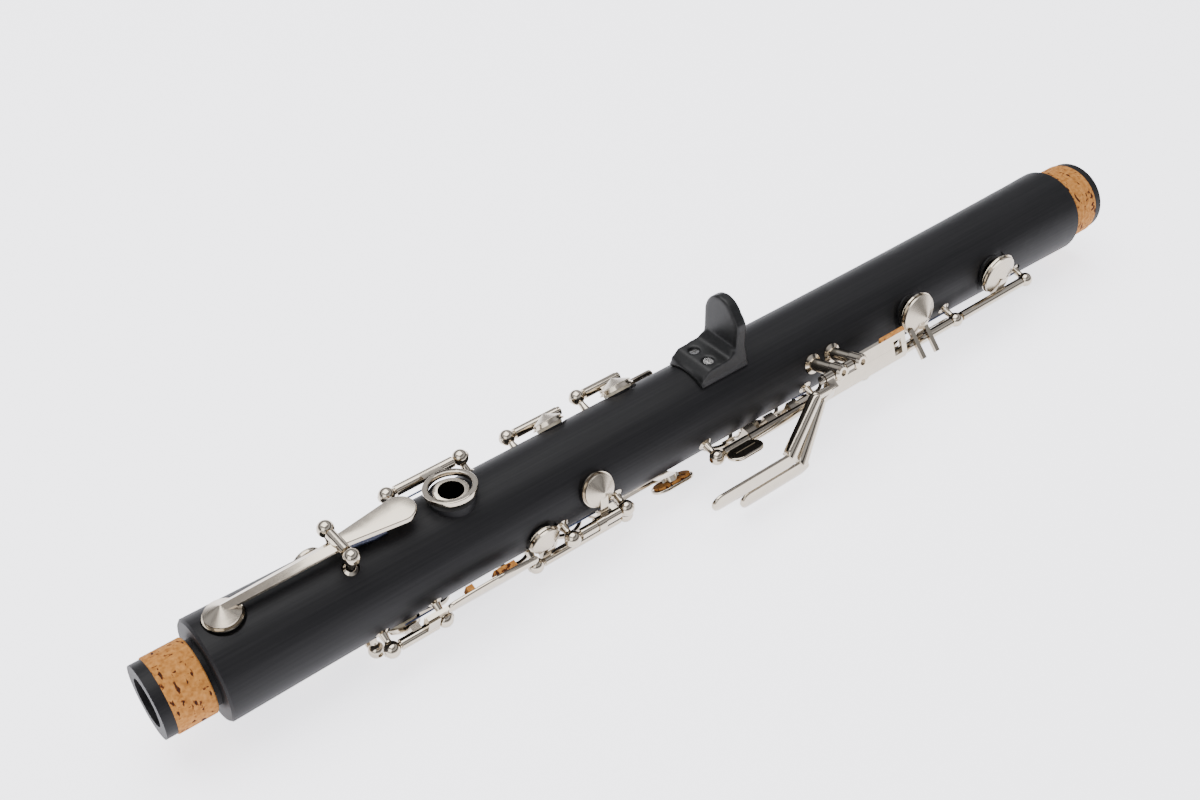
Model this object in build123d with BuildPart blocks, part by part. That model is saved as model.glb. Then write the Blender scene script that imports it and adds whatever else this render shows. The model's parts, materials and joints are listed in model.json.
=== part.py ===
from build123d import *
from math import cos, radians, sin
import os

# One-piece soprano clarinet body in E flat with its keywork, without mouthpiece, barrel or bell.
# +X runs down the bore from the barrel shoulder to the bell shoulder, +Z is the thumb side
# and +Y is the player's right. A place on the body is (x, phi, r): x along the bore, phi the
# angle about the bore from +Z towards +Y in degrees, and r the distance from the bore's axis.

# ---- driving dimensions, millimetres and degrees ----
BODY_LENGTH = 318.0
TOP_RADIUS = 14.0
WAIST_RADIUS = 13.2
FOOT_RADIUS = 14.2
SHOULDER_CHAMFER = 0.6
BORE_RADIUS = 6.5
FLARE_START = 240.0
FLARE_RADIUS = 9.0

TENON_LENGTH = 14.8
TENON_LIP_RADIUS = 9.9
TENON_LIP_WIDTH = 2.9
TENON_SEAT_RADIUS = 8.9
CORK_RADIUS = 10.25
BELL_TENON_LENGTH = 14.6
BELL_LIP_RADIUS = 12.0
BELL_SEAT_RADIUS = 11.0
BELL_CORK_RADIUS = 12.4
GROOVE_WIDTH = 1.5

SPOT_RADIUS = WAIST_RADIUS - 0.5     # where the flats for the post flanges lie
FLANGE_RADIUS = 2.2
FLANGE_HEIGHT = 0.6
NECK_FOOT_RADIUS = 1.3
NECK_TOP_RADIUS = 0.95
BALL_RADIUS = 2.3
SHANK_RADIUS = 1.0
SHANK_DEPTH = 3.0
ROD_RADIUS = 0.8
RUNNING_GAP = 0.06                   # radial, between a rod and the tube that turns on it
TUBE_RADIUS = 1.5
END_GAP = 0.25                       # between a tube's end and the ball beside it

SEAT_RADIUS = WAIST_RADIUS - 0.2     # the top of every pad seat
SEAT_POCKET = WAIST_RADIUS - 0.9     # the flat floor round a pad seat
SEAT_GAP = 0.05
PAD_THICKNESS = 2.2
PAD_SHOWS = 0.9                      # how much of a pad stands out of its cup
CUP_WALL = 0.45
CUP_LIP = 0.9
LIP_HEIGHT = 0.5
CUP_CONE = 2.2
ARM_THICKNESS = 1.2
ARM_WIDTH = 2.6
ARM_RADIUS = WAIST_RADIUS + 2.3      # inner face of the arms that cross the body

HOLE_CHIMNEY_RADIUS = 4.5
FINGER_HOLE_RADIUS = 3.2
CHIMNEY_TOP = WAIST_RADIUS + 2.1
RING_INNER_RADIUS = 5.6
RING_OUTER_RADIUS = 6.8
RING_HEIGHT = 1.3

THUMB_X = 73.0
THUMB_HOLE_RADIUS = 3.5
THUMB_CHIMNEY_RADIUS = 4.85
THUMB_CHIMNEY_TOP = WAIST_RADIUS + 2.6
THUMB_BOSS_RADIUS = 6.4
THUMB_BOSS_TOP = WAIST_RADIUS + 0.9
THUMB_RING_INNER = 5.8
THUMB_RING_OUTER = 7.3

LEFT_HOLES = (88.0, 106.0, 125.0)
RIGHT_HOLES = (163.0, 182.0, 201.0)

os.makedirs("parts", exist_ok=True)


# ---- places and shared shapes ----
def outward(phi):
    """Unit vector pointing away from the bore at the angle phi."""
    return Vector(0, sin(radians(phi)), cos(radians(phi)))


def place(x, phi, r):
    """Point at x along the bore, phi about it and r away from it."""
    return Vector(x, 0, 0) + outward(phi) * r


def station(x, phi, r):
    """Plane that faces outward there, its own x along the bore."""
    return Plane(origin=place(x, phi, r), x_dir=(1, 0, 0), z_dir=outward(phi))


def radial_plane(x, phi, r):
    """Plane through the bore's axis, its own x along the bore and its own y outward."""
    out = outward(phi)
    return Plane(origin=place(x, phi, r), x_dir=(1, 0, 0), z_dir=Vector(1, 0, 0).cross(out))


def cross_plane(x):
    """Plane square to the bore at x, its own x along +Y and its own y along +Z."""
    return Plane(origin=(x, 0, 0), x_dir=(0, 1, 0), z_dir=(1, 0, 0))


def turned(x, phi, r, outline):
    """Solid of revolution about the outward line at a place, from (distance, height) points."""
    plane = radial_plane(x, phi, r)
    with BuildPart() as solid:
        with BuildSketch(plane):
            with BuildLine():
                Polyline(*outline, close=True)
            make_face()
        revolve(axis=Axis(plane.origin, outward(phi)))
    return solid.part


def plug(x, phi, r_low, r_high, radius):
    """Round plug that points outward."""
    with BuildPart() as solid:
        with BuildSketch(station(x, phi, r_low)):
            Circle(radius)
        extrude(amount=r_high - r_low)
    return solid.part


def bar_along(x_low, x_high, phi, r, radius):
    """Round bar parallel to the bore."""
    with BuildPart() as solid:
        with BuildSketch(cross_plane(x_low)):
            with Locations((r * sin(radians(phi)), r * cos(radians(phi)))):
                Circle(radius)
        extrude(amount=x_high - x_low)
    return solid.part


def band(x_low, x_high, phi_low, phi_high, r_in, r_out):
    """Curved strip that follows the body: a sector of a tube about the bore."""
    with BuildPart() as solid:
        with BuildSketch(cross_plane(x_low)):
            with BuildLine():
                outer = CenterArc((0, 0), r_out, 90 - phi_high, phi_high - phi_low)
                inner = CenterArc((0, 0), r_in, 90 - phi_high, phi_high - phi_low)
                Line(outer @ 0, inner @ 0)
                Line(outer @ 1, inner @ 1)
            make_face()
        extrude(amount=x_high - x_low)
    return solid.part


def leaf(plane, length, width, thickness, round_off=0.35):
    """Oval finger touch on a plane, its faces eased at the rim."""
    with BuildPart() as solid:
        with BuildSketch(plane):
            if length > width:
                SlotOverall(length, width)
            else:
                Circle(width / 2)
        extrude(amount=thickness)
        rims = solid.edges().filter_by(lambda e: abs((e @ 0.5 - e @ 0).dot(plane.z_dir)) < 1e-6)
        fillet(rims, round_off)
    return solid.part


def post_outline(r):
    """Half profile of a pillar below its ball, measured from the flat that it stands on."""
    ball = r - SPOT_RADIUS
    return [
        (0, -SHANK_DEPTH),
        (SHANK_RADIUS, -SHANK_DEPTH),
        (SHANK_RADIUS, 0),
        (FLANGE_RADIUS, 0),
        (FLANGE_RADIUS, FLANGE_HEIGHT * 0.6),
        (NECK_FOOT_RADIUS, FLANGE_HEIGHT * 1.6),
        (NECK_TOP_RADIUS, ball * 0.55),
        (NECK_FOOT_RADIUS, ball),
        (0, ball),
    ]


def post(x, phi, r):
    """Pillar screwed into the body, its ball drilled along the bore."""
    with BuildPart() as pillar:
        add(turned(x, phi, SPOT_RADIUS, post_outline(r)))
        with Locations(station(x, phi, r).location):
            Sphere(BALL_RADIUS)
        add(bar_along(x - BALL_RADIUS, x + BALL_RADIUS, phi, r, ROD_RADIUS), mode=Mode.SUBTRACT)
    return pillar.part


def bar_across(x, z, half, radius):
    """Round bar square to the bore, from -Y to +Y."""
    with BuildPart() as solid:
        with BuildSketch(Plane(origin=(x, -half, z), x_dir=(1, 0, 0), z_dir=(0, 1, 0))):
            Circle(radius)
        extrude(amount=2 * half)
    return solid.part


def saddle_post(x, phi, r):
    """Pillar whose ball is drilled across the bore, for a key that rocks along it."""
    with BuildPart() as pillar:
        add(turned(x, phi, SPOT_RADIUS, post_outline(r)))
        with Locations(station(x, phi, r).location):
            Sphere(BALL_RADIUS)
        add(bar_across(x, r * cos(radians(phi)), r, ROD_RADIUS), mode=Mode.SUBTRACT)
    return pillar.part


def post_socket(x, phi, flange=FLANGE_RADIUS):
    """What a post takes out of the body: its shank's hole and the flat for its flange."""
    hole = [
        (0, -SHANK_DEPTH),
        (SHANK_RADIUS, -SHANK_DEPTH),
        (SHANK_RADIUS, 0),
        (flange + 0.1, 0),
        (flange + 0.1, 3),
        (0, 3),
    ]
    return turned(x, phi, SPOT_RADIUS, hole)


def pad_disc(x, phi, radius):
    """Pad that lies just above its seat."""
    low = SEAT_RADIUS + SEAT_GAP
    with BuildPart() as solid:
        with BuildSketch(station(x, phi, low)):
            Circle(radius)
        extrude(amount=PAD_THICKNESS)
        fillet(solid.edges().sort_by(Axis(place(x, phi, low), outward(phi)))[0], 0.3)
    return solid.part


def pad_cup(x, phi, radius, cone=CUP_CONE):
    """Cup that holds a pad: lip, wall and a conical crown."""
    outline = [
        (0, PAD_THICKNESS),
        (radius, PAD_THICKNESS),
        (radius, PAD_SHOWS),
        (radius + CUP_LIP, PAD_SHOWS),
        (radius + CUP_LIP, PAD_SHOWS + LIP_HEIGHT),
        (radius + CUP_WALL, PAD_SHOWS + LIP_HEIGHT),
        (radius + CUP_WALL, PAD_THICKNESS + 0.1),
        (0, PAD_THICKNESS + 0.1 + cone),
    ]
    return turned(x, phi, SEAT_RADIUS + SEAT_GAP, outline)


def pad_room(x, phi, radius):
    """The space that a pad fills in its cup."""
    return plug(x, phi, SEAT_RADIUS - 1, SEAT_RADIUS + SEAT_GAP + PAD_THICKNESS, radius)


def finger_ring(x, phi, r, inner, outer, height):
    """Flat ring key round a hole."""
    with BuildPart() as solid:
        with BuildSketch(station(x, phi, r)):
            Circle(outer)
            Circle(inner, mode=Mode.SUBTRACT)
        extrude(amount=height)
        fillet(solid.edges(), 0.3)
    return solid.part


# ---- where every post, hinge, cup and hole is: (x, phi, r) or (x, phi) ----
REGISTER_X = 40.0
REGISTER_R = WAIST_RADIUS + 5.8
REGISTER_SPREAD = 19.5
REGISTER_CUP = (8.0, 0.0)
REGISTER_PAD = 4.2

THROAT_A_X = 42.0
THROAT_A_SPREAD = 19.5
THROAT_A_R = WAIST_RADIUS + 5.8
THROAT_A_CUP = (24.0, 180.0)
SMALL_PAD = 3.9

THROAT_G_LINE = (-120.0, WAIST_RADIUS + 5.1)
THROAT_G_POSTS = (42.0, 58.0)
THROAT_G_CUP = (50.0, -147.0)

THUMB_RING_LINE = (38.0, WAIST_RADIUS + 4.3)
THUMB_RING_POSTS = (60.0, 83.0)

UPPER_RING_LINE = (147.0, WAIST_RADIUS + 4.8)
UPPER_RING_POSTS = (78.5, 116.0)
UPPER_VENT = (97.0, -163.0)
VENT_PAD = 2.9

LEFT_SLIVER_LINE = (-134.0, WAIST_RADIUS + 4.8)
LEFT_SLIVER_POSTS = (89.0, 120.0)
LEFT_SLIVER_CUP = (91.5, -103.0)

CSHARP_LINE = (-106.0, WAIST_RADIUS + 4.8)
CSHARP_POSTS = (98.5, 117.0)
CSHARP_CUP = (110.0, -75.0)
CSHARP_PAD = 4.3

SIDE_EB_LINE = (70.0, WAIST_RADIUS + 4.6)
SIDE_EB_POST = 102.0
SIDE_EB_END = 119.3
SIDE_EB_CUP = (112.0, 48.0)
SIDE_FS_LINE = (68.0, WAIST_RADIUS + 5.4)
SIDE_FS_POST = 127.0
SIDE_FS_END = 141.3
HEAD_GAP = 0.3           # between an open tube's end and the screw head beyond it
SIDE_FS_CUP = (136.0, 46.0)
SIDE_FS_PAD = 4.4

TRILL_HIGH_LINE = (130.0, WAIST_RADIUS + 4.0)
TRILL_HIGH_POSTS = (18.0, 162.0)
TRILL_HIGH_CUP = (22.0, 101.0)
TRILL_LOW_LINE = (112.0, WAIST_RADIUS + 4.0)
TRILL_LOW_POSTS = (33.0, 174.0)
TRILL_LOW_CUP = (37.0, 85.0)

LOWER_RING_LINE = (-106.0, WAIST_RADIUS + 5.3)
LEFT_F_POST = 150.0
LOWER_RING_POSTS = (190.0,)
LOWER_VENT = (172.5, -149.0)

RIGHT_SLIVER_LINE = (145.0, WAIST_RADIUS + 4.3)
RIGHT_SLIVER_POSTS = (168.0, 196.0)
RIGHT_SLIVER_CUP = (190.0, 117.0)

FSHARP_LINE = (-106.0, WAIST_RADIUS + 5.3)
FSHARP_POSTS = (209.5, 252.0)
FSHARP_CUP = (235.0, -75.0)
FSHARP_PAD = 5.9

LOW_E_LINE = (-106.0, WAIST_RADIUS + 5.3)
LOW_E_POST = 286.5
LOW_E_CUP = (273.5, -84.0)
LOW_E_PAD = 6.0

FRONT_LINE = (165.0, WAIST_RADIUS + 4.8)
FRONT_POSTS = (210.0, 220.0, 230.0, 240.0, 268.0)
AFLAT_CUP = (235.0, -167.0)
AFLAT_PAD = 4.4
LOW_F_CUP = (262.0, 122.0)
LOW_F_PAD = 5.2

LEVER_LINE = (-72.0, WAIST_RADIUS + 10.4)
LEVER_POSTS = (192.5, 200.5)
LEVER_E_END = 186.6
TALL_FLANGE_RADIUS = 3.1
TALL_POST_RADIUS = 2.0
TALL_HEAD_RADIUS = 2.4

THUMB_REST_X = (153.0, 171.0)
REST_SCREWS = (159.0, 10.5)

# Pads with a seat in the body: (x, phi, pad radius, hole radius).
SEATS = [
    (*REGISTER_CUP, REGISTER_PAD, 1.6),
    (*THROAT_A_CUP, SMALL_PAD, 2.2),
    (*THROAT_G_CUP, SMALL_PAD, 2.2),
    (*UPPER_VENT, VENT_PAD, 1.7),
    (*LEFT_SLIVER_CUP, SMALL_PAD, 2.2),
    (*CSHARP_CUP, CSHARP_PAD, 2.6),
    (*SIDE_EB_CUP, SMALL_PAD, 2.3),
    (*SIDE_FS_CUP, SIDE_FS_PAD, 2.6),
    (*TRILL_HIGH_CUP, SMALL_PAD, 2.2),
    (*TRILL_LOW_CUP, SMALL_PAD, 2.2),
    (*LOWER_VENT, VENT_PAD, 1.7),
    (*RIGHT_SLIVER_CUP, SMALL_PAD, 2.3),
    (*FSHARP_CUP, FSHARP_PAD, 4.0),
    (*LOW_E_CUP, LOW_E_PAD, 4.2),
    (*AFLAT_CUP, AFLAT_PAD, 2.8),
    (*LOW_F_CUP, LOW_F_PAD, 3.6),
]

# Posts with a ball at r: (x, phi, r).
SADDLE_POSTS = [
    (REGISTER_X, -REGISTER_SPREAD, REGISTER_R),
    (REGISTER_X, REGISTER_SPREAD, REGISTER_R),
    (THROAT_A_X, 180 - THROAT_A_SPREAD, THROAT_A_R),
    (THROAT_A_X, 180 + THROAT_A_SPREAD, THROAT_A_R),
]
UPPER_POSTS = [
    (SIDE_EB_POST, *SIDE_EB_LINE),
    (SIDE_FS_POST, *SIDE_FS_LINE),
]
for line, places in (
    (THROAT_G_LINE, THROAT_G_POSTS),
    (THUMB_RING_LINE, THUMB_RING_POSTS),
    (UPPER_RING_LINE, UPPER_RING_POSTS),
    (LEFT_SLIVER_LINE, LEFT_SLIVER_POSTS),
    (CSHARP_LINE, CSHARP_POSTS),
    (TRILL_HIGH_LINE, TRILL_HIGH_POSTS),
    (TRILL_LOW_LINE, TRILL_LOW_POSTS),
):
    UPPER_POSTS += [(x, *line) for x in places]

LOWER_POSTS = [
    (LEFT_F_POST, *LOWER_RING_LINE),
    (LOW_E_POST, *LOW_E_LINE),
]
for line, places in (
    (LOWER_RING_LINE, LOWER_RING_POSTS),
    (RIGHT_SLIVER_LINE, RIGHT_SLIVER_POSTS),
    (FSHARP_LINE, FSHARP_POSTS),
    (FRONT_LINE, FRONT_POSTS),
):
    LOWER_POSTS += [(x, *line) for x in places]

# Rods that carry the tubes: (x of one end, x of the other, phi, r).
RODS = [
    (SIDE_EB_POST - BALL_RADIUS, SIDE_EB_END + HEAD_GAP, *SIDE_EB_LINE),
    (SIDE_FS_POST - BALL_RADIUS, SIDE_FS_END + HEAD_GAP, *SIDE_FS_LINE),
    (LEFT_F_POST - BALL_RADIUS, LOWER_RING_POSTS[0] + BALL_RADIUS, *LOWER_RING_LINE),
    (FSHARP_POSTS[0] - BALL_RADIUS, LOW_E_POST + BALL_RADIUS, *FSHARP_LINE),
    (LEVER_E_END - HEAD_GAP, LEVER_POSTS[1] + TALL_HEAD_RADIUS, *LEVER_LINE),
]
for line, places in (
    (THROAT_G_LINE, THROAT_G_POSTS),
    (THUMB_RING_LINE, THUMB_RING_POSTS),
    (UPPER_RING_LINE, UPPER_RING_POSTS),
    (LEFT_SLIVER_LINE, LEFT_SLIVER_POSTS),
    (CSHARP_LINE, CSHARP_POSTS),
    (TRILL_HIGH_LINE, TRILL_HIGH_POSTS),
    (TRILL_LOW_LINE, TRILL_LOW_POSTS),
    (RIGHT_SLIVER_LINE, RIGHT_SLIVER_POSTS),
    (FRONT_LINE, (FRONT_POSTS[0], FRONT_POSTS[-1])),
):
    RODS.append((places[0] - BALL_RADIUS, places[1] + BALL_RADIUS, *line))

# Keys that stand open, and the turn in degrees about their hinge that opens them from shut.
THUMB_RING_OPEN = -6.0
UPPER_RING_OPEN = 6.5
LOWER_RING_OPEN = -4.0
FSHARP_OPEN = 9.6
LOW_E_OPEN = 11.6
LOW_F_OPEN = -7.5


# ---- shapes that the keys share ----
def tube(line, x_low, x_high):
    """Hinge tube on a line, before it is bored."""
    return bar_along(x_low, x_high, line[0], line[1], TUBE_RADIUS)


def bore_of(line, x_low, x_high):
    """The running hole through a hinge tube, cut last."""
    return bar_along(x_low - 1, x_high + 1, line[0], line[1], ROD_RADIUS + RUNNING_GAP)


def span(posts):
    """Ends of a tube that fills the space between two posts."""
    return posts[0] + BALL_RADIUS + END_GAP, posts[1] - BALL_RADIUS - END_GAP


def arm(x_low, x_high, line, phi_end, r_in=ARM_RADIUS, thickness=ARM_THICKNESS):
    """Curved arm from a hinge tube round the body to phi_end, with a foot on the tube."""
    phi, r = line
    foot = 3.5
    with BuildPart() as solid:
        add(band(x_low, x_high, min(phi, phi_end), max(phi, phi_end), r_in, r_in + thickness))
        add(band(x_low, x_high, phi - foot, phi + foot, r_in, r))
    return solid.part


def slab(x_low, x_high, points):
    """Flat-sided piece: an outline of (y, z) points drawn out along the bore."""
    with BuildPart() as solid:
        with BuildSketch(cross_plane(x_low)):
            with BuildLine():
                Polyline(*points, close=True)
            make_face()
        extrude(amount=x_high - x_low)
    return solid.part


def strip(x_low, x_high, start, end, thickness):
    """Straight strip in the cross plane between two (y, z) points."""
    along = Vector(end[0] - start[0], end[1] - start[1], 0).normalized()
    half = Vector(-along.Y, along.X, 0) * (thickness / 2)
    corners = [(p[0] + s * half.X, p[1] + s * half.Y) for p, s in
               ((start, 1), (end, 1), (end, -1), (start, -1))]
    return slab(x_low, x_high, corners)


def facing(x, phi, r, normal):
    """Plane at a place that faces the angle normal instead of straight out."""
    return Plane(origin=place(x, phi, r), x_dir=(1, 0, 0), z_dir=outward(normal))


def opened(piece, line, degrees):
    """A key turned about its hinge line."""
    axis = Axis((0, line[1] * sin(radians(line[0])), line[1] * cos(radians(line[0]))), (1, 0, 0))
    return piece.rotate(axis, degrees)


def cup_key(line, posts, cup, pad, width=ARM_WIDTH):
    """Tube between two posts with a pad cup on an arm, not yet bored."""
    with BuildPart() as solid:
        add(tube(line, *span(posts)))
        add(pad_cup(*cup, pad))
        add(arm(cup[0] - width / 2, cup[0] + width / 2, line, cup[1]))
    return solid.part


# ---- the body and what is fixed to it ----
with BuildPart() as body_tube:
    with BuildSketch(Plane.XY):
        with BuildLine():
            Polyline(
                (BODY_LENGTH - SHOULDER_CHAMFER, FOOT_RADIUS),
                (BODY_LENGTH, FOOT_RADIUS - SHOULDER_CHAMFER),
                (BODY_LENGTH, BELL_SEAT_RADIUS),
                (BODY_LENGTH + BELL_TENON_LENGTH - TENON_LIP_WIDTH, BELL_SEAT_RADIUS),
                (BODY_LENGTH + BELL_TENON_LENGTH - TENON_LIP_WIDTH, BELL_LIP_RADIUS),
                (BODY_LENGTH + BELL_TENON_LENGTH, BELL_LIP_RADIUS),
                (BODY_LENGTH + BELL_TENON_LENGTH, FLARE_RADIUS),
                (FLARE_START, BORE_RADIUS),
                (-TENON_LENGTH, BORE_RADIUS),
                (-TENON_LENGTH, TENON_LIP_RADIUS),
                (TENON_LIP_WIDTH - TENON_LENGTH, TENON_LIP_RADIUS),
                (TENON_LIP_WIDTH - TENON_LENGTH, TENON_SEAT_RADIUS),
                (0, TENON_SEAT_RADIUS),
                (0, TOP_RADIUS - SHOULDER_CHAMFER),
                (SHOULDER_CHAMFER, TOP_RADIUS),
            )
            Spline(
                (SHOULDER_CHAMFER, TOP_RADIUS),
                (BODY_LENGTH * 0.2, WAIST_RADIUS + 0.15),
                (BODY_LENGTH * 0.5, WAIST_RADIUS),
                (BODY_LENGTH * 0.8, WAIST_RADIUS + 0.1),
                (BODY_LENGTH - SHOULDER_CHAMFER, FOOT_RADIUS),
            )
        make_face()
    revolve(axis=Axis.X)
    add(plug(THUMB_X, 0, BORE_RADIUS + 2, THUMB_BOSS_TOP, THUMB_BOSS_RADIUS))
    for x, phi, pad, hole in SEATS:
        add(plug(x, phi, SEAT_POCKET, SEAT_POCKET + 4, pad + CUP_LIP + 0.4), mode=Mode.SUBTRACT)
    for x, phi, pad, hole in SEATS:
        add(plug(x, phi, BORE_RADIUS + 3, SEAT_RADIUS, hole + 1.2))
    for x, phi, pad, hole in SEATS:
        add(plug(x, phi, 0, SEAT_POCKET + 4, hole), mode=Mode.SUBTRACT)
    for x in (*LEFT_HOLES[:2], *RIGHT_HOLES):
        add(plug(x, 180, 0, CHIMNEY_TOP, FINGER_HOLE_RADIUS), mode=Mode.SUBTRACT)
        add(plug(x, 180, BORE_RADIUS + 3, CHIMNEY_TOP, HOLE_CHIMNEY_RADIUS), mode=Mode.SUBTRACT)
    add(plug(LEFT_HOLES[2], 180, 0, CHIMNEY_TOP, FINGER_HOLE_RADIUS), mode=Mode.SUBTRACT)
    add(plug(THUMB_X, 0, 0, CHIMNEY_TOP, THUMB_HOLE_RADIUS), mode=Mode.SUBTRACT)
    add(plug(THUMB_X, 0, BORE_RADIUS + 3, CHIMNEY_TOP, THUMB_CHIMNEY_RADIUS), mode=Mode.SUBTRACT)
    for x, phi, r in SADDLE_POSTS + UPPER_POSTS + LOWER_POSTS:
        add(post_socket(x, phi), mode=Mode.SUBTRACT)
    for x in LEVER_POSTS:
        add(post_socket(x, LEVER_LINE[0], TALL_FLANGE_RADIUS), mode=Mode.SUBTRACT)
body_tube.part.label = "body_tube"
export_step(body_tube.part, "parts/body_tube.step")
print("body", body_tube.part.is_valid, len(body_tube.part.solids()), body_tube.part.volume)

with BuildPart() as barrel_tenon_cork:
    with BuildSketch(cross_plane(TENON_LIP_WIDTH - TENON_LENGTH)):
        Circle(CORK_RADIUS)
        Circle(TENON_SEAT_RADIUS, mode=Mode.SUBTRACT)
    extrude(amount=TENON_LENGTH - TENON_LIP_WIDTH - GROOVE_WIDTH)
    chamfer(barrel_tenon_cork.edges().filter_by(GeomType.CIRCLE).group_by(SortBy.RADIUS)[-1], 0.3)
barrel_tenon_cork.part.label = "barrel_tenon_cork"
export_step(barrel_tenon_cork.part, "parts/barrel_tenon_cork.step")

with BuildPart() as bell_tenon_cork:
    with BuildSketch(cross_plane(BODY_LENGTH + GROOVE_WIDTH)):
        Circle(BELL_CORK_RADIUS)
        Circle(BELL_SEAT_RADIUS, mode=Mode.SUBTRACT)
    extrude(amount=BELL_TENON_LENGTH - TENON_LIP_WIDTH - GROOVE_WIDTH)
    chamfer(bell_tenon_cork.edges().filter_by(GeomType.CIRCLE).group_by(SortBy.RADIUS)[-1], 0.3)
bell_tenon_cork.part.label = "bell_tenon_cork"
export_step(bell_tenon_cork.part, "parts/bell_tenon_cork.step")

with BuildPart() as thumb_hole_insert:
    add(plug(THUMB_X, 0, BORE_RADIUS + 3, THUMB_CHIMNEY_TOP, THUMB_CHIMNEY_RADIUS))
    fillet(thumb_hole_insert.edges().sort_by(Axis.Z)[-1], 0.4)
    add(plug(THUMB_X, 0, 0, THUMB_CHIMNEY_TOP, THUMB_HOLE_RADIUS), mode=Mode.SUBTRACT)
thumb_hole_insert.part.label = "thumb_hole_insert"
export_step(thumb_hole_insert.part, "parts/thumb_hole_insert.step")

with BuildPart() as finger_hole_inserts:
    for x in (*LEFT_HOLES[:2], *RIGHT_HOLES):
        add(plug(x, 180, BORE_RADIUS + 3, CHIMNEY_TOP, HOLE_CHIMNEY_RADIUS))
    fillet(finger_hole_inserts.edges().group_by(Axis.Z)[0], 0.4)
    for x in (*LEFT_HOLES[:2], *RIGHT_HOLES):
        add(plug(x, 180, 0, CHIMNEY_TOP, FINGER_HOLE_RADIUS), mode=Mode.SUBTRACT)
finger_hole_inserts.part.label = "finger_hole_inserts"
export_step(finger_hole_inserts.part, "parts/finger_hole_inserts.step")

REST_HALF_WIDTH = 7.0
REST_BASE_ANGLE = 32.0
REST_INNER = WAIST_RADIUS + 0.02
REST_TOP = WAIST_RADIUS + 3.8
HOOK_X = (166.0, 169.5)
HOOK_TIP = WAIST_RADIUS + 19.8
REST_SCREW_RADIUS = 1.5
with BuildPart() as thumb_rest:
    add(band(*THUMB_REST_X, -REST_BASE_ANGLE, REST_BASE_ANGLE, REST_INNER, REST_INNER + 1.2))
    with BuildSketch(Plane.XZ.offset(-REST_HALF_WIDTH)):
        with BuildLine():
            Polyline(
                (THUMB_REST_X[0] + 0.6, REST_INNER - 1),
                (THUMB_REST_X[0] + 0.6, REST_INNER + 1.2),
                (THUMB_REST_X[0] + 3.2, REST_TOP - 0.4),
                (HOOK_X[0] - 2.2, REST_TOP),
                (HOOK_X[0] - 0.4, REST_TOP + 2.2),
                (HOOK_X[1], REST_TOP + 2.2),
                (THUMB_REST_X[1] - 0.4, REST_INNER + 1.2),
                (THUMB_REST_X[1] - 0.4, REST_INNER - 1),
                close=True,
            )
        make_face()
    extrude(amount=2 * REST_HALF_WIDTH)
    chamfer(thumb_rest.edges().filter_by(Axis.X).group_by(Axis.Z)[-1], 1.6)
    with BuildSketch(cross_plane(HOOK_X[0])):
        with Locations((0, REST_TOP - 2)):
            Rectangle(2 * REST_HALF_WIDTH, HOOK_TIP - REST_TOP - 4, align=(Align.CENTER, Align.MIN))
        with Locations((0.6, HOOK_TIP - REST_HALF_WIDTH)):
            Ellipse(REST_HALF_WIDTH - 0.6, REST_HALF_WIDTH)
        with Locations((-0.6, HOOK_TIP - REST_HALF_WIDTH - 1)):
            Ellipse(REST_HALF_WIDTH - 0.4, REST_HALF_WIDTH - 1)
    extrude(amount=HOOK_X[1] - HOOK_X[0])
    add(bar_along(THUMB_REST_X[0] - 1, THUMB_REST_X[1] + 1, 0, 0, REST_INNER), mode=Mode.SUBTRACT)
    for side in (-1, 1):
        add(plug(REST_SCREWS[0], side * REST_SCREWS[1], REST_INNER - 2, REST_TOP + 2,
                 REST_SCREW_RADIUS), mode=Mode.SUBTRACT)
thumb_rest.part.label = "thumb_rest"
export_step(thumb_rest.part, "parts/thumb_rest.step")

with BuildPart() as thumb_rest_screws:
    for side in (-1, 1):
        turn = side * REST_SCREWS[1]
        top = REST_TOP - 0.6
        add(plug(REST_SCREWS[0], turn, REST_INNER + 0.05, top, REST_SCREW_RADIUS - 0.03))
        with BuildSketch(station(REST_SCREWS[0], turn, top - 0.5)):
            Rectangle(2 * REST_SCREW_RADIUS - 0.8, 0.4)
            Rectangle(0.4, 2 * REST_SCREW_RADIUS - 0.8)
        extrude(amount=1, mode=Mode.SUBTRACT)
thumb_rest_screws.part.label = "thumb_rest_screws"
export_step(thumb_rest_screws.part, "parts/thumb_rest_screws.step")

with BuildPart() as upper_posts:
    for x, phi, r in SADDLE_POSTS:
        add(saddle_post(x, phi, r))
    for x, phi, r in UPPER_POSTS:
        add(post(x, phi, r))
upper_posts.part.label = "upper_posts"
export_step(upper_posts.part, "parts/upper_posts.step")

with BuildPart() as lower_posts:
    for x, phi, r in LOWER_POSTS:
        add(post(x, phi, r))
lower_posts.part.label = "lower_posts"
export_step(lower_posts.part, "parts/lower_posts.step")

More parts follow.
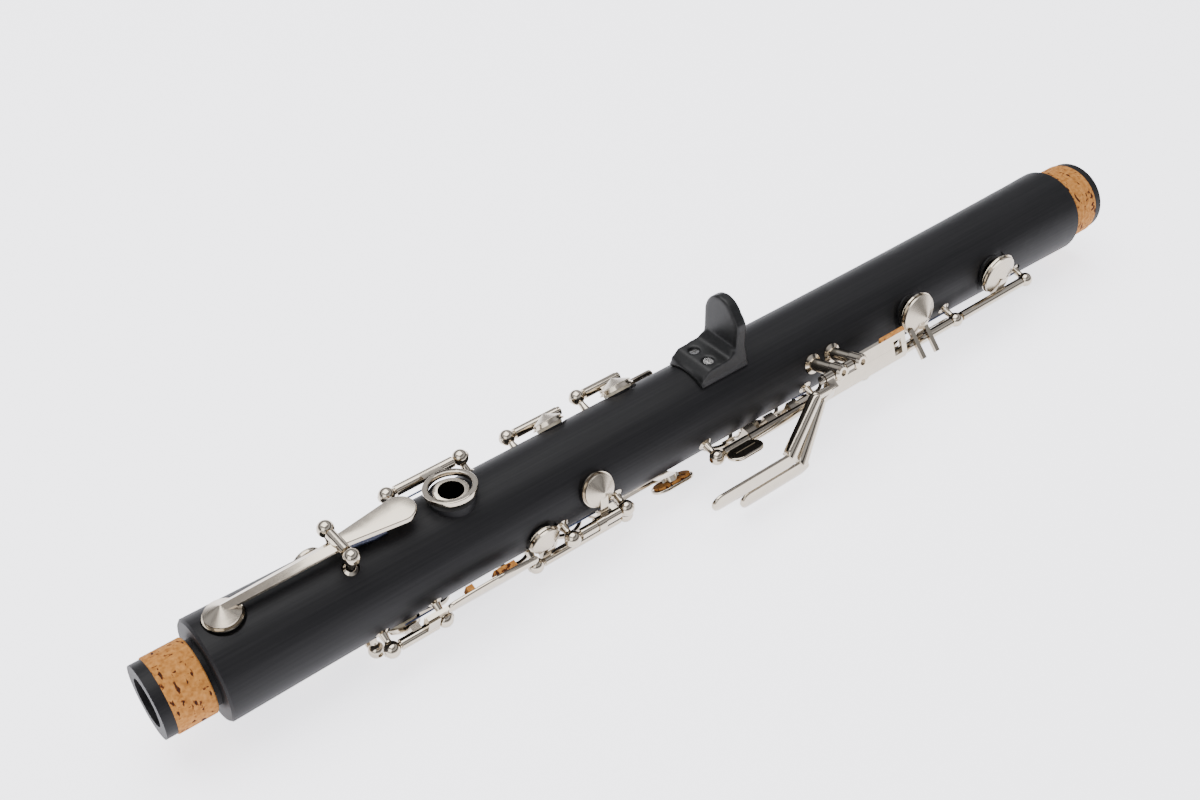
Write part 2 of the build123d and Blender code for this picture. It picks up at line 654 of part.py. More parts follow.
DIMPLE_RADIUS = 1.0
DIMPLE_DEPTH = 0.8
with BuildPart() as lever_posts:
    for x in LEVER_POSTS:
        stem = LEVER_LINE[1] - SPOT_RADIUS
        tall = [
            (0, -SHANK_DEPTH),
            (SHANK_RADIUS, -SHANK_DEPTH),
            (SHANK_RADIUS, 0),
            (TALL_FLANGE_RADIUS, 0),
            (TALL_FLANGE_RADIUS, FLANGE_HEIGHT),
            (TALL_POST_RADIUS, FLANGE_HEIGHT * 1.8),
            (TALL_POST_RADIUS, stem - TALL_HEAD_RADIUS),
            (TALL_HEAD_RADIUS, stem - TALL_HEAD_RADIUS + 0.5),
            (TALL_HEAD_RADIUS, stem + TALL_HEAD_RADIUS - 0.7),
            (TALL_HEAD_RADIUS - 0.7, stem + TALL_HEAD_RADIUS),
            (DIMPLE_RADIUS, stem + TALL_HEAD_RADIUS),
            (DIMPLE_RADIUS, stem + TALL_HEAD_RADIUS - DIMPLE_DEPTH),
            (0, stem + TALL_HEAD_RADIUS - DIMPLE_DEPTH),
        ]
        add(turned(x, LEVER_LINE[0], SPOT_RADIUS, tall))
        add(bar_along(x - 3, x + 3, *LEVER_LINE, ROD_RADIUS), mode=Mode.SUBTRACT)
lever_posts.part.label = "lever_posts"
export_step(lever_posts.part, "parts/lever_posts.step")

SCREW_HEAD_RADIUS = 1.3
SCREW_HEAD_WIDTH = 0.7
SADDLE_ROD_HALF = 8.0
with BuildPart() as hinge_rods:
    for x_low, x_high, phi, r in RODS:
        add(bar_along(x_low, x_high, phi, r, ROD_RADIUS))
    add(bar_across(REGISTER_X, REGISTER_R * cos(radians(REGISTER_SPREAD)), SADDLE_ROD_HALF, ROD_RADIUS))
    add(bar_across(THROAT_A_X, -THROAT_A_R * cos(radians(THROAT_A_SPREAD)), SADDLE_ROD_HALF, ROD_RADIUS))
    for x, line in (
        (SIDE_EB_END + HEAD_GAP, SIDE_EB_LINE),
        (SIDE_FS_END + HEAD_GAP, SIDE_FS_LINE),
        (LEVER_E_END - HEAD_GAP - SCREW_HEAD_WIDTH, LEVER_LINE),
    ):
        add(bar_along(x, x + SCREW_HEAD_WIDTH, *line, SCREW_HEAD_RADIUS))
hinge_rods.part.label = "hinge_rods"
export_step(hinge_rods.part, "parts/hinge_rods.step")

# ---- thumb side and left hand ----
LEVER_THICKNESS = 1.3
REGISTER_UNDER = WAIST_RADIUS + 3.1


def ridge(half_width, under):
    """Cross-section of a lever with a crest along its middle, as (y, z) points."""
    return [
        (-half_width, under),
        (-half_width, under + 0.7),
        (0, under + LEVER_THICKNESS + 0.4),
        (half_width, under + 0.7),
        (half_width, under),
    ]


with BuildPart() as register_key:
    pivot_z = REGISTER_R * cos(radians(REGISTER_SPREAD))
    pivot_y = REGISTER_R * sin(radians(REGISTER_SPREAD)) - BALL_RADIUS - END_GAP
    add(pad_cup(*REGISTER_CUP, REGISTER_PAD, CUP_CONE + 0.4))
    add(bar_across(REGISTER_X, pivot_z, pivot_y, TUBE_RADIUS))
    with BuildSketch(cross_plane(REGISTER_CUP[0])):
        with BuildLine():
            Polyline(*ridge(1.5, REGISTER_UNDER), close=True)
        make_face()
    with BuildSketch(cross_plane(REGISTER_X)):
        with BuildLine():
            Polyline(*ridge(2.0, REGISTER_UNDER + 0.8), close=True)
        make_face()
    loft()
    with BuildSketch(Plane.XY.offset(REGISTER_UNDER + 1.3)):
        with Locations((REGISTER_X, 0)):
            Circle(2.0)
        with Locations((REGISTER_X + 17.5, 0)):
            Circle(4.6)
        make_hull()
    extrude(amount=LEVER_THICKNESS)
    fillet(register_key.faces().filter_by(Axis.Z).sort_by(SortBy.AREA)[-1].edges(), 0.4)
    add(bar_across(REGISTER_X, pivot_z, pivot_y + 1, ROD_RADIUS + RUNNING_GAP), mode=Mode.SUBTRACT)
    add(pad_room(*REGISTER_CUP, REGISTER_PAD), mode=Mode.SUBTRACT)
register_key.part.label = "register_key"
export_step(register_key.part, "parts/register_key.step")
print("register", register_key.part.is_valid, len(register_key.part.solids()))

with BuildPart() as register_flat_spring:
    with BuildSketch(Plane.XZ.offset(-1.0)):
        with BuildLine():
            Polyline((REGISTER_X + 2.5, 15.2), (REGISTER_X + 2.5, 15.5), (REGISTER_X + 9, 14.0),
                     (REGISTER_X + 13, 14.0), (REGISTER_X + 13, 13.5), (REGISTER_X + 9, 13.5),
                     close=True)
        make_face()
    extrude(amount=2.0)
register_flat_spring.part.label = "register_flat_spring"
export_step(register_flat_spring.part, "parts/register_flat_spring.step")

with BuildPart() as throat_a_key:
    pivot_z = -THROAT_A_R * cos(radians(THROAT_A_SPREAD))
    pivot_y = THROAT_A_R * sin(radians(THROAT_A_SPREAD)) - BALL_RADIUS - END_GAP
    add(pad_cup(*THROAT_A_CUP, SMALL_PAD))
    add(bar_across(THROAT_A_X, pivot_z, pivot_y, TUBE_RADIUS))
    with BuildSketch(Plane.XY.offset(-REGISTER_UNDER - LEVER_THICKNESS)):
        with Locations(((THROAT_A_CUP[0] + THROAT_A_X) / 2, 0)):
            Rectangle(THROAT_A_X - THROAT_A_CUP[0], 3.2)
    extrude(amount=LEVER_THICKNESS)
    with BuildSketch(Plane.XY.offset(-REGISTER_UNDER - LEVER_THICKNESS - 0.6)):
        with Locations((THROAT_A_X, 0)):
            Circle(1.8)
        with Locations((THROAT_A_X + 22, 0)):
            Circle(4.2)
        make_hull()
    extrude(amount=LEVER_THICKNESS)
    add(bar_across(THROAT_A_X, pivot_z, pivot_y + 1, ROD_RADIUS + RUNNING_GAP), mode=Mode.SUBTRACT)
    add(pad_room(*THROAT_A_CUP, SMALL_PAD), mode=Mode.SUBTRACT)
throat_a_key.part.label = "throat_a_key"
export_step(throat_a_key.part, "parts/throat_a_key.step")
print("throat_a", throat_a_key.part.is_valid, len(throat_a_key.part.solids()))

PLATE_THICKNESS = 1.1
THROAT_G_PLATE = (72.0, -104.0, WAIST_RADIUS + 4.2)
THROAT_G_NORMAL = -112.0
THROAT_G_OUTLINE = [(-12.0, 2.0), (1.0, 2.7), (13.6, 1.0)]
with BuildPart() as throat_gsharp_key:
    ends = span(THROAT_G_POSTS)
    add(cup_key(THROAT_G_LINE, THROAT_G_POSTS, THROAT_G_CUP, SMALL_PAD))
    with BuildSketch(facing(*THROAT_G_PLATE, THROAT_G_NORMAL)):
        for along, radius in THROAT_G_OUTLINE:
            with Locations((along, 0)):
                Circle(radius)
        make_hull()
    extrude(amount=PLATE_THICKNESS)
    hinge = place(0, *THROAT_G_LINE)
    plate = place(0, THROAT_G_PLATE[1], THROAT_G_PLATE[2] + PLATE_THICKNESS / 2)
    add(strip(ends[1] - 3.5, ends[1], (hinge.Y, hinge.Z), (plate.Y, plate.Z), 2.4))
    with BuildSketch(facing(ends[1] + 3, *THROAT_G_PLATE[1:], THROAT_G_NORMAL)):
        Rectangle(13.0, 2.6)
    extrude(amount=PLATE_THICKNESS)
    add(bore_of(THROAT_G_LINE, *ends), mode=Mode.SUBTRACT)
    add(pad_room(*THROAT_G_CUP, SMALL_PAD), mode=Mode.SUBTRACT)
throat_gsharp_key.part.label = "throat_gsharp_key"
export_step(throat_gsharp_key.part, "parts/throat_gsharp_key.step")
print("throat_g", throat_gsharp_key.part.is_valid, len(throat_gsharp_key.part.solids()))

THROAT_G_CORKS = [(66.0, 2.0), (77.0, 6.5)]
with BuildPart() as throat_gsharp_corks:
    for x, length in THROAT_G_CORKS:
        with BuildSketch(facing(x, *THROAT_G_PLATE[1:], THROAT_G_NORMAL)):
            Rectangle(length, 3.4)
        extrude(amount=-1.8)
throat_gsharp_corks.part.label = "throat_gsharp_corks"
export_step(throat_gsharp_corks.part, "parts/throat_gsharp_corks.step")

with BuildPart() as thumb_ring_shut:
    ends = span(THUMB_RING_POSTS)
    hinge = place(0, *THUMB_RING_LINE)
    add(tube(THUMB_RING_LINE, *ends))
    add(finger_ring(THUMB_X, 0, THUMB_CHIMNEY_TOP - 1.3, THUMB_RING_INNER, THUMB_RING_OUTER, 1.6))
    add(slab(THUMB_X - 3, THUMB_X + 3, [(hinge.Y, hinge.Z - 1.2), (hinge.Y, hinge.Z + 1.4),
             (THUMB_RING_INNER + 0.6, THUMB_CHIMNEY_TOP - 0.1),
             (THUMB_RING_INNER + 0.6, THUMB_CHIMNEY_TOP - 1.2)]))
    add(bore_of(THUMB_RING_LINE, *ends), mode=Mode.SUBTRACT)
with BuildPart() as thumb_ring_key:
    add(opened(thumb_ring_shut.part, THUMB_RING_LINE, THUMB_RING_OPEN))
thumb_ring_key.part.label = "thumb_ring_key"
export_step(thumb_ring_key.part, "parts/thumb_ring_key.step")
print("thumb_ring", thumb_ring_key.part.is_valid, len(thumb_ring_key.part.solids()))

RING_LOW = CHIMNEY_TOP - RING_HEIGHT
with BuildPart() as upper_ring_shut:
    ends = span(UPPER_RING_POSTS)
    hinge = place(0, *UPPER_RING_LINE)
    add(cup_key(UPPER_RING_LINE, UPPER_RING_POSTS, (UPPER_VENT[0], UPPER_VENT[1] + 360), VENT_PAD))
    for x in LEFT_HOLES[:2]:
        add(finger_ring(x, 180, RING_LOW, RING_INNER_RADIUS, RING_OUTER_RADIUS, RING_HEIGHT))
        add(slab(x - 2, x + 2, [(hinge.Y, -CHIMNEY_TOP), (hinge.Y, -RING_LOW - 0.2),
                 (RING_INNER_RADIUS + 0.5, -RING_LOW - 0.2), (RING_INNER_RADIUS + 0.5, -CHIMNEY_TOP)]))
    add(bore_of(UPPER_RING_LINE, *ends), mode=Mode.SUBTRACT)
    add(pad_room(*UPPER_VENT, VENT_PAD), mode=Mode.SUBTRACT)
with BuildPart() as upper_ring_key:
    add(opened(upper_ring_shut.part, UPPER_RING_LINE, UPPER_RING_OPEN))
upper_ring_key.part.label = "upper_ring_key"
export_step(upper_ring_key.part, "parts/upper_ring_key.step")
print("upper_ring", upper_ring_key.part.is_valid, len(upper_ring_key.part.solids()))

with BuildPart() as left_sliver_key:
    ends = span(LEFT_SLIVER_POSTS)
    add(tube(LEFT_SLIVER_LINE, *ends))
    add(pad_cup(*LEFT_SLIVER_CUP, SMALL_PAD))
    add(arm(ends[0], ends[0] + 2.8, LEFT_SLIVER_LINE, LEFT_SLIVER_CUP[1]))
    add(arm(ends[1] - 2.2, ends[1], LEFT_SLIVER_LINE, -147, 16.2, 1.1))
    add(leaf(facing(ends[1] - 1.5, -147, 16.9, -147), 8.0, 2.4, PLATE_THICKNESS))
    add(bore_of(LEFT_SLIVER_LINE, *ends), mode=Mode.SUBTRACT)
    add(pad_room(*LEFT_SLIVER_CUP, SMALL_PAD), mode=Mode.SUBTRACT)
left_sliver_key.part.label = "left_sliver_key"
export_step(left_sliver_key.part, "parts/left_sliver_key.step")
print("left_sliver", left_sliver_key.part.is_valid, len(left_sliver_key.part.solids()))

CSHARP_BAR = -158.0
CSHARP_BAR_IN = WAIST_RADIUS + 1.7
CSHARP_SPOON = (138.5, -136.0, WAIST_RADIUS + 3.4)
CSHARP_SPOON_NORMAL = -150.0
with BuildPart() as csharp_key:
    ends = span(CSHARP_POSTS)
    add(cup_key(CSHARP_LINE, CSHARP_POSTS, CSHARP_CUP, CSHARP_PAD))
    add(bar_along(106.5, 109.0, *CSHARP_LINE, TUBE_RADIUS + 0.4))
    add(arm(ends[1] - 1.8, ends[1], CSHARP_LINE, CSHARP_BAR - 4.5, CSHARP_BAR_IN, 1.0))
    add(band(ends[1] - 1.3, CSHARP_SPOON[0] + 3, CSHARP_BAR - 4.5, CSHARP_BAR + 4.5,
             CSHARP_BAR_IN, CSHARP_BAR_IN + 1.1))
    add(band(CSHARP_SPOON[0] - 3, CSHARP_SPOON[0] + 3, CSHARP_BAR - 4, CSHARP_SPOON[1],
             CSHARP_BAR_IN, CSHARP_BAR_IN + 1.1))
    add(plug(*CSHARP_SPOON[:2], CSHARP_BAR_IN, CSHARP_SPOON[2] + 0.6, 2.0))
    add(leaf(facing(*CSHARP_SPOON, CSHARP_SPOON_NORMAL), 14.0, 7.0, PLATE_THICKNESS))
    add(bore_of(CSHARP_LINE, *ends), mode=Mode.SUBTRACT)
    add(pad_room(*CSHARP_CUP, CSHARP_PAD), mode=Mode.SUBTRACT)
csharp_key.part.label = "csharp_key"
export_step(csharp_key.part, "parts/csharp_key.step")
print("csharp", csharp_key.part.is_valid, len(csharp_key.part.solids()))

# ---- side and trill keys, on the player's right ----
SIDE_EB_TOUCH = (157.5, 98.0)
SIDE_FS_TOUCH = (149.0, 82.0)
TRILL_HIGH_TOUCH = (153.0, 143.0)
TRILL_LOW_TOUCH = (168.9, 126.0)
SIDE_EB_ENDS = (SIDE_EB_POST + BALL_RADIUS + END_GAP, SIDE_EB_END)
with BuildPart() as side_eb_key:
    add(tube(SIDE_EB_LINE, *SIDE_EB_ENDS))
    add(pad_cup(*SIDE_EB_CUP, SMALL_PAD))
    add(arm(SIDE_EB_CUP[0] - 1.3, SIDE_EB_CUP[0] + 1.3, SIDE_EB_LINE, SIDE_EB_CUP[1]))
    add(arm(SIDE_EB_ENDS[1] - ARM_WIDTH, SIDE_EB_ENDS[1], SIDE_EB_LINE, SIDE_EB_TOUCH[1] + 4))
    add(band(SIDE_EB_ENDS[1] - ARM_WIDTH, SIDE_EB_TOUCH[0], SIDE_EB_TOUCH[1] - 4,
             SIDE_EB_TOUCH[1] + 4, ARM_RADIUS, ARM_RADIUS + ARM_THICKNESS))
    add(leaf(station(*SIDE_EB_TOUCH, ARM_RADIUS + 0.5), 13.0, 3.8, PLATE_THICKNESS))
    add(bore_of(SIDE_EB_LINE, *SIDE_EB_ENDS), mode=Mode.SUBTRACT)
    add(pad_room(*SIDE_EB_CUP, SMALL_PAD), mode=Mode.SUBTRACT)
side_eb_key.part.label = "side_eb_key"
export_step(side_eb_key.part, "parts/side_eb_key.step")
print("side_eb", side_eb_key.part.is_valid, len(side_eb_key.part.solids()))

SIDE_FS_ENDS = (SIDE_FS_POST + BALL_RADIUS + END_GAP, SIDE_FS_END)
with BuildPart() as side_fsharp_key:
    add(tube(SIDE_FS_LINE, *SIDE_FS_ENDS))
    add(pad_cup(*SIDE_FS_CUP, SIDE_FS_PAD))
    add(arm(SIDE_FS_CUP[0] - 1.4, SIDE_FS_CUP[0] + 1.4, SIDE_FS_LINE, SIDE_FS_CUP[1]))
    add(arm(SIDE_FS_ENDS[1] - 2.4, SIDE_FS_ENDS[1], SIDE_FS_LINE, SIDE_FS_TOUCH[1] + 4))
    add(band(SIDE_FS_ENDS[1] - 2.4, SIDE_FS_TOUCH[0], SIDE_FS_TOUCH[1] - 3, SIDE_FS_TOUCH[1] + 4,
             ARM_RADIUS, ARM_RADIUS + ARM_THICKNESS))
    add(leaf(station(*SIDE_FS_TOUCH, ARM_RADIUS + 0.5), 11.0, 3.8, PLATE_THICKNESS))
    add(bore_of(SIDE_FS_LINE, *SIDE_FS_ENDS), mode=Mode.SUBTRACT)
    add(pad_room(*SIDE_FS_CUP, SIDE_FS_PAD), mode=Mode.SUBTRACT)
side_fsharp_key.part.label = "side_fsharp_key"
export_step(side_fsharp_key.part, "parts/side_fsharp_key.step")
print("side_fs", side_fsharp_key.part.is_valid, len(side_fsharp_key.part.solids()))

with BuildPart() as trill_high_key:
    ends = span(TRILL_HIGH_POSTS)
    add(cup_key(TRILL_HIGH_LINE, TRILL_HIGH_POSTS, TRILL_HIGH_CUP, SMALL_PAD))
    add(arm(TRILL_HIGH_TOUCH[0] - 1, TRILL_HIGH_TOUCH[0] + 5, TRILL_HIGH_LINE,
            TRILL_HIGH_TOUCH[1] + 2))
    add(leaf(station(*TRILL_HIGH_TOUCH, ARM_RADIUS + 0.5), 12.0, 3.4, PLATE_THICKNESS))
    add(bore_of(TRILL_HIGH_LINE, *ends), mode=Mode.SUBTRACT)
    add(pad_room(*TRILL_HIGH_CUP, SMALL_PAD), mode=Mode.SUBTRACT)
trill_high_key.part.label = "trill_high_key"
export_step(trill_high_key.part, "parts/trill_high_key.step")
print("trill_high", trill_high_key.part.is_valid, len(trill_high_key.part.solids()))

with BuildPart() as trill_low_key:
    ends = span(TRILL_LOW_POSTS)
    add(cup_key(TRILL_LOW_LINE, TRILL_LOW_POSTS, TRILL_LOW_CUP, SMALL_PAD))
    add(arm(ends[1] - 5, ends[1] - 1, TRILL_LOW_LINE, TRILL_LOW_TOUCH[1] + 2, ARM_RADIUS + 0.2))
    add(leaf(station(*TRILL_LOW_TOUCH, ARM_RADIUS + 0.7), 8.4, 3.6, PLATE_THICKNESS))
    add(bore_of(TRILL_LOW_LINE, *ends), mode=Mode.SUBTRACT)
    add(pad_room(*TRILL_LOW_CUP, SMALL_PAD), mode=Mode.SUBTRACT)
trill_low_key.part.label = "trill_low_key"
export_step(trill_low_key.part, "parts/trill_low_key.step")
print("trill_low", trill_low_key.part.is_valid, len(trill_low_key.part.solids()))

# ---- right-hand rings and the keys beside them ----
LEFT_F_ENDS = (LEFT_F_POST + BALL_RADIUS + END_GAP, 162.0)
LOWER_RING_ENDS = (162.4, LOWER_RING_POSTS[0] - BALL_RADIUS - END_GAP)
RING_EDGE_PHI = -159.0
with BuildPart() as lower_ring_shut:
    add(tube(LOWER_RING_LINE, *LOWER_RING_ENDS))
    for x in RIGHT_HOLES:
        add(finger_ring(x, 180, RING_LOW, RING_INNER_RADIUS, RING_OUTER_RADIUS, RING_HEIGHT))
    for x in (LOWER_RING_ENDS[0] + 2.2, LOWER_VENT[0], RIGHT_HOLES[1]):
        add(arm(x - 1.8, x + 1.8, LOWER_RING_LINE, RING_EDGE_PHI, ARM_RADIUS - 0.6))
    add(arm(LOWER_VENT[0] - 1.8, LOWER_VENT[0] + 1.8, LOWER_RING_LINE, LOWER_VENT[1]))
    add(band(LOWER_RING_ENDS[0] + 1, RIGHT_HOLES[2], -157, -153, ARM_RADIUS - 0.6, ARM_RADIUS + 0.6))
    add(pad_cup(*LOWER_VENT, VENT_PAD))
    add(bore_of(LOWER_RING_LINE, *LOWER_RING_ENDS), mode=Mode.SUBTRACT)
    add(pad_room(*LOWER_VENT, VENT_PAD), mode=Mode.SUBTRACT)
with BuildPart() as lower_ring_key:
    add(opened(lower_ring_shut.part, LOWER_RING_LINE, LOWER_RING_OPEN))
lower_ring_key.part.label = "lower_ring_key"
export_step(lower_ring_key.part, "parts/lower_ring_key.step")
print("lower_ring", lower_ring_key.part.is_valid, len(lower_ring_key.part.solids()))

LEFT_F_SPOON = (157.0, -98.0, WAIST_RADIUS + 8.8)
LEFT_F_NORMAL = -165.0
with BuildPart() as left_f_lever:
    hinge = place(0, *LOWER_RING_LINE)
    spoon = place(0, *LEFT_F_SPOON[1:])
    add(tube(LOWER_RING_LINE, *LEFT_F_ENDS))
    add(leaf(facing(*LEFT_F_SPOON, LEFT_F_NORMAL), 12.0, 6.2, PLATE_THICKNESS))
    add(strip(LEFT_F_ENDS[0] + 1.2, LEFT_F_ENDS[1] - 1, (hinge.Y, hinge.Z),
              (spoon.Y, spoon.Z - PLATE_THICKNESS / 2), 1.4))
    add(bore_of(LOWER_RING_LINE, *LEFT_F_ENDS), mode=Mode.SUBTRACT)
left_f_lever.part.label = "left_f_lever"
export_step(left_f_lever.part, "parts/left_f_lever.step")
print("left_f", left_f_lever.part.is_valid, len(left_f_lever.part.solids()))

with BuildPart() as right_sliver_key:
    ends = span(RIGHT_SLIVER_POSTS)
    add(cup_key(RIGHT_SLIVER_LINE, RIGHT_SLIVER_POSTS, RIGHT_SLIVER_CUP, SMALL_PAD))
    add(arm(ends[0] + 0.9, ends[0] + 3.7, RIGHT_SLIVER_LINE, 166))
    add(leaf(facing(ends[0] + 2.3, 163, ARM_RADIUS + 0.9, 163), 3.6, 3.2, PLATE_THICKNESS))
    add(bore_of(RIGHT_SLIVER_LINE, *ends), mode=Mode.SUBTRACT)
    add(pad_room(*RIGHT_SLIVER_CUP, SMALL_PAD), mode=Mode.SUBTRACT)
right_sliver_key.part.label = "right_sliver_key"
export_step(right_sliver_key.part, "parts/right_sliver_key.step")
print("right_sliver", right_sliver_key.part.is_valid, len(right_sliver_key.part.solids()))

# ---- little-finger keys ----
# The two left-hand levers hang side by side: their touches are flat strips on one slanted
# plane, a gap apart, and each is carried by a straight shank from its own tube.
SPATULA_NORMAL = -96.0
SPATULA_WIDTH = 5.6
SPATULA_PITCH = 6.5
SPATULA_CENTRE = (-29.6, -7.4)
LEVER_E_ENDS = (LEVER_E_END, LEVER_POSTS[0] - TALL_HEAD_RADIUS - END_GAP)
LEVER_FS_ENDS = (LEVER_POSTS[0] + TALL_HEAD_RADIUS + END_GAP,
                 LEVER_POSTS[1] - TALL_HEAD_RADIUS - END_GAP)


def spatula(y, z, x_low, x_high):
    """Flat touch of a left-hand lever, centred on (y, z)."""
    plane = Plane(origin=((x_low + x_high) / 2, y, z), x_dir=(1, 0, 0), z_dir=outward(SPATULA_NORMAL))
    return leaf(plane, x_high - x_low, SPATULA_WIDTH, PLATE_THICKNESS)


def shank(start, end, width, thickness):
    """Straight bar between two points, its flat sides facing the spatula's way."""
    along = (end - start).normalized()
    flat = along.cross(outward(SPATULA_NORMAL)).normalized()
    with BuildPart() as solid:
        with BuildSketch(Plane(origin=start, x_dir=flat, z_dir=along)):
            RectangleRounded(width, thickness, thickness * 0.35)
        extrude(amount=(end - start).length)
    return solid.part


def plug_at(point, radius):
    """Ball that rounds the bend between two shanks."""
    with BuildPart() as solid:
        with Locations(point):
            Sphere(radius)
    return solid.part


with BuildPart() as left_e_lever:
    y, z = SPATULA_CENTRE
    hinge = place(0, *LEVER_LINE)
    knee = Vector(181.0, hinge.Y - 2.6, hinge.Z - 1.9)
    add(tube(LEVER_LINE, *LEVER_E_ENDS))
    add(spatula(y, z, 137.4, 169.0))
    add(strip(LEVER_E_END, LEVER_E_END + 2.6, (hinge.Y, hinge.Z), (knee.Y - 0.6, knee.Z - 0.4), 2.2))
    add(shank(Vector(188.0, knee.Y, knee.Z), knee, 2.4, 2.0))
    add(plug_at(knee, 1.6))
    add(shank(knee, Vector(166.8, y + 0.6, z + 0.6), 3.2, 2.2))
    add(bore_of(LEVER_LINE, *LEVER_E_ENDS), mode=Mode.SUBTRACT)
left_e_lever.part.label = "left_e_lever"
export_step(left_e_lever.part, "parts/left_e_lever.step")
print("left_e", left_e_lever.part.is_valid, len(left_e_lever.part.solids()))

# The second lever carries a deep plate beside the body, cut low where it passes the tall posts.
LEVER_PLATE_X = (189.5, 224.0)
LEVER_PLATE_STEP = 204.0
LEVER_PLATE_TOP = (-19.8, 5.6)
LEVER_PLATE_LOW_TOP = (-21.1, 2.0)
LEVER_PLATE_BEND = (-22.0, -0.6)
LEVER_PLATE_FOOT = (-21.8, -3.0)
with BuildPart() as left_fsharp_lever:
    slant = radians(SPATULA_NORMAL)
    y = SPATULA_CENTRE[0] - SPATULA_PITCH * cos(slant)
    z = SPATULA_CENTRE[1] + SPATULA_PITCH * sin(slant)
    hinge = place(0, *LEVER_LINE)
    add(tube(LEVER_LINE, *LEVER_FS_ENDS))
    for start, top in (LEVER_PLATE_X[0], LEVER_PLATE_LOW_TOP), (LEVER_PLATE_STEP, LEVER_PLATE_TOP):
        corners = [top, LEVER_PLATE_BEND, LEVER_PLATE_FOOT]
        inside = [(y_in + PLATE_THICKNESS, z_in) for y_in, z_in in reversed(corners)]
        add(slab(start, LEVER_PLATE_X[1], corners + inside))
    add(strip(*LEVER_FS_ENDS, (hinge.Y, hinge.Z),
              (LEVER_PLATE_LOW_TOP[0] + PLATE_THICKNESS / 2, LEVER_PLATE_LOW_TOP[1] - 1),
              PLATE_THICKNESS))
    add(spatula(y, z, 149.0, 175.0))
    knee = Vector(184.6, -23.4, 0.2)
    add(shank(Vector(LEVER_PLATE_X[0] + 2.0, LEVER_PLATE_BEND[0] + 0.4, 0.2), knee, 3.6, 2.2))
    add(plug_at(knee, 1.9))
    add(shank(knee, Vector(172.6, y + 0.6, z + 0.6), 3.6, 2.2))
    window = Plane(origin=(LEVER_PLATE_X[1] - 3.6, LEVER_PLATE_BEND[0] - 2, 1.6),
                   x_dir=(1, 0, 0), z_dir=(0, 1, 0))
    with BuildSketch(window):
        Rectangle(3.2, 4.4)
    extrude(amount=5, mode=Mode.SUBTRACT)
    add(bore_of(LEVER_LINE, *LEVER_FS_ENDS), mode=Mode.SUBTRACT)
left_fsharp_lever.part.label = "left_fsharp_lever"
export_step(left_fsharp_lever.part, "parts/left_fsharp_lever.step")
print("left_fs", left_fsharp_lever.part.is_valid, len(left_fsharp_lever.part.solids()))

with BuildPart() as lever_cork:
    with BuildSketch(cross_plane(LEVER_PLATE_X[1] - 10)):
        with Locations((LEVER_PLATE_TOP[0] + PLATE_THICKNESS / 2, LEVER_PLATE_TOP[1] + 0.4)):
            Rectangle(PLATE_THICKNESS, 0.8)
    extrude(amount=10)
lever_cork.part.label = "lever_cork"
export_step(lever_cork.part, "parts/lever_cork.step")

FSHARP_TAIL_PHI = -150.0
FSHARP_TAIL_IN = WAIST_RADIUS + 4.2
with BuildPart() as fsharp_shut:
    ends = span(FSHARP_POSTS)
    cup = place(0, FSHARP_CUP[1] - 12, 16.2)
    tip = place(0, -102, 24.6)
    add(tube(FSHARP_LINE, ends[0], ends[1]))
    add(pad_cup(*FSHARP_CUP, FSHARP_PAD, CUP_CONE + 1.0))
    add(arm(FSHARP_CUP[0] - 2, FSHARP_CUP[0] + 2, FSHARP_LINE, FSHARP_CUP[1], 16.2))
    for x in (FSHARP_CUP[0] - 5.4, FSHARP_CUP[0] + 0.6):
        add(strip(x, x + 1.6, (cup.Y, cup.Z), (tip.Y, tip.Z), 1.1))
    add(arm(ends[0] + 1.2, ends[0] + 5.2, FSHARP_LINE, FSHARP_TAIL_PHI, FSHARP_TAIL_IN))
    add(bore_of(FSHARP_LINE, *ends), mode=Mode.SUBTRACT)
    add(pad_room(*FSHARP_CUP, FSHARP_PAD), mode=Mode.SUBTRACT)
with BuildPart() as fsharp_key:
    add(opened(fsharp_shut.part, FSHARP_LINE, FSHARP_OPEN))
fsharp_key.part.label = "fsharp_key"
export_step(fsharp_key.part, "parts/fsharp_key.step")
print("fsharp", fsharp_key.part.is_valid, len(fsharp_key.part.solids()))

LOW_E_ENDS = (FSHARP_POSTS[1] + BALL_RADIUS + END_GAP, LOW_E_POST - BALL_RADIUS - END_GAP)
LOW_E_BAR = -138.0
LOW_E_BAR_IN = WAIST_RADIUS + 4.55
with BuildPart() as e_shut:
    add(tube(LOW_E_LINE, *LOW_E_ENDS))
    add(pad_cup(*LOW_E_CUP, LOW_E_PAD))
    add(arm(LOW_E_CUP[0] - 2, LOW_E_CUP[0] + 2, LOW_E_LINE, LOW_E_CUP[1], 16.2))
    add(arm(LOW_E_ENDS[0] + 0.8, LOW_E_ENDS[0] + 4.2, LOW_E_LINE, LOW_E_BAR - 4, LOW_E_BAR_IN))
    add(band(223.0, LOW_E_ENDS[0] + 4.2, LOW_E_BAR - 4, LOW_E_BAR + 4, LOW_E_BAR_IN,
             LOW_E_BAR_IN + ARM_THICKNESS))
    add(bore_of(LOW_E_LINE, *LOW_E_ENDS), mode=Mode.SUBTRACT)
    add(pad_room(*LOW_E_CUP, LOW_E_PAD), mode=Mode.SUBTRACT)
with BuildPart() as e_key:
    add(opened(e_shut.part, LOW_E_LINE, LOW_E_OPEN))
e_key.part.label = "e_key"
export_step(e_key.part, "parts/e_key.step")
print("e_key", e_key.part.is_valid, len(e_key.part.solids()))

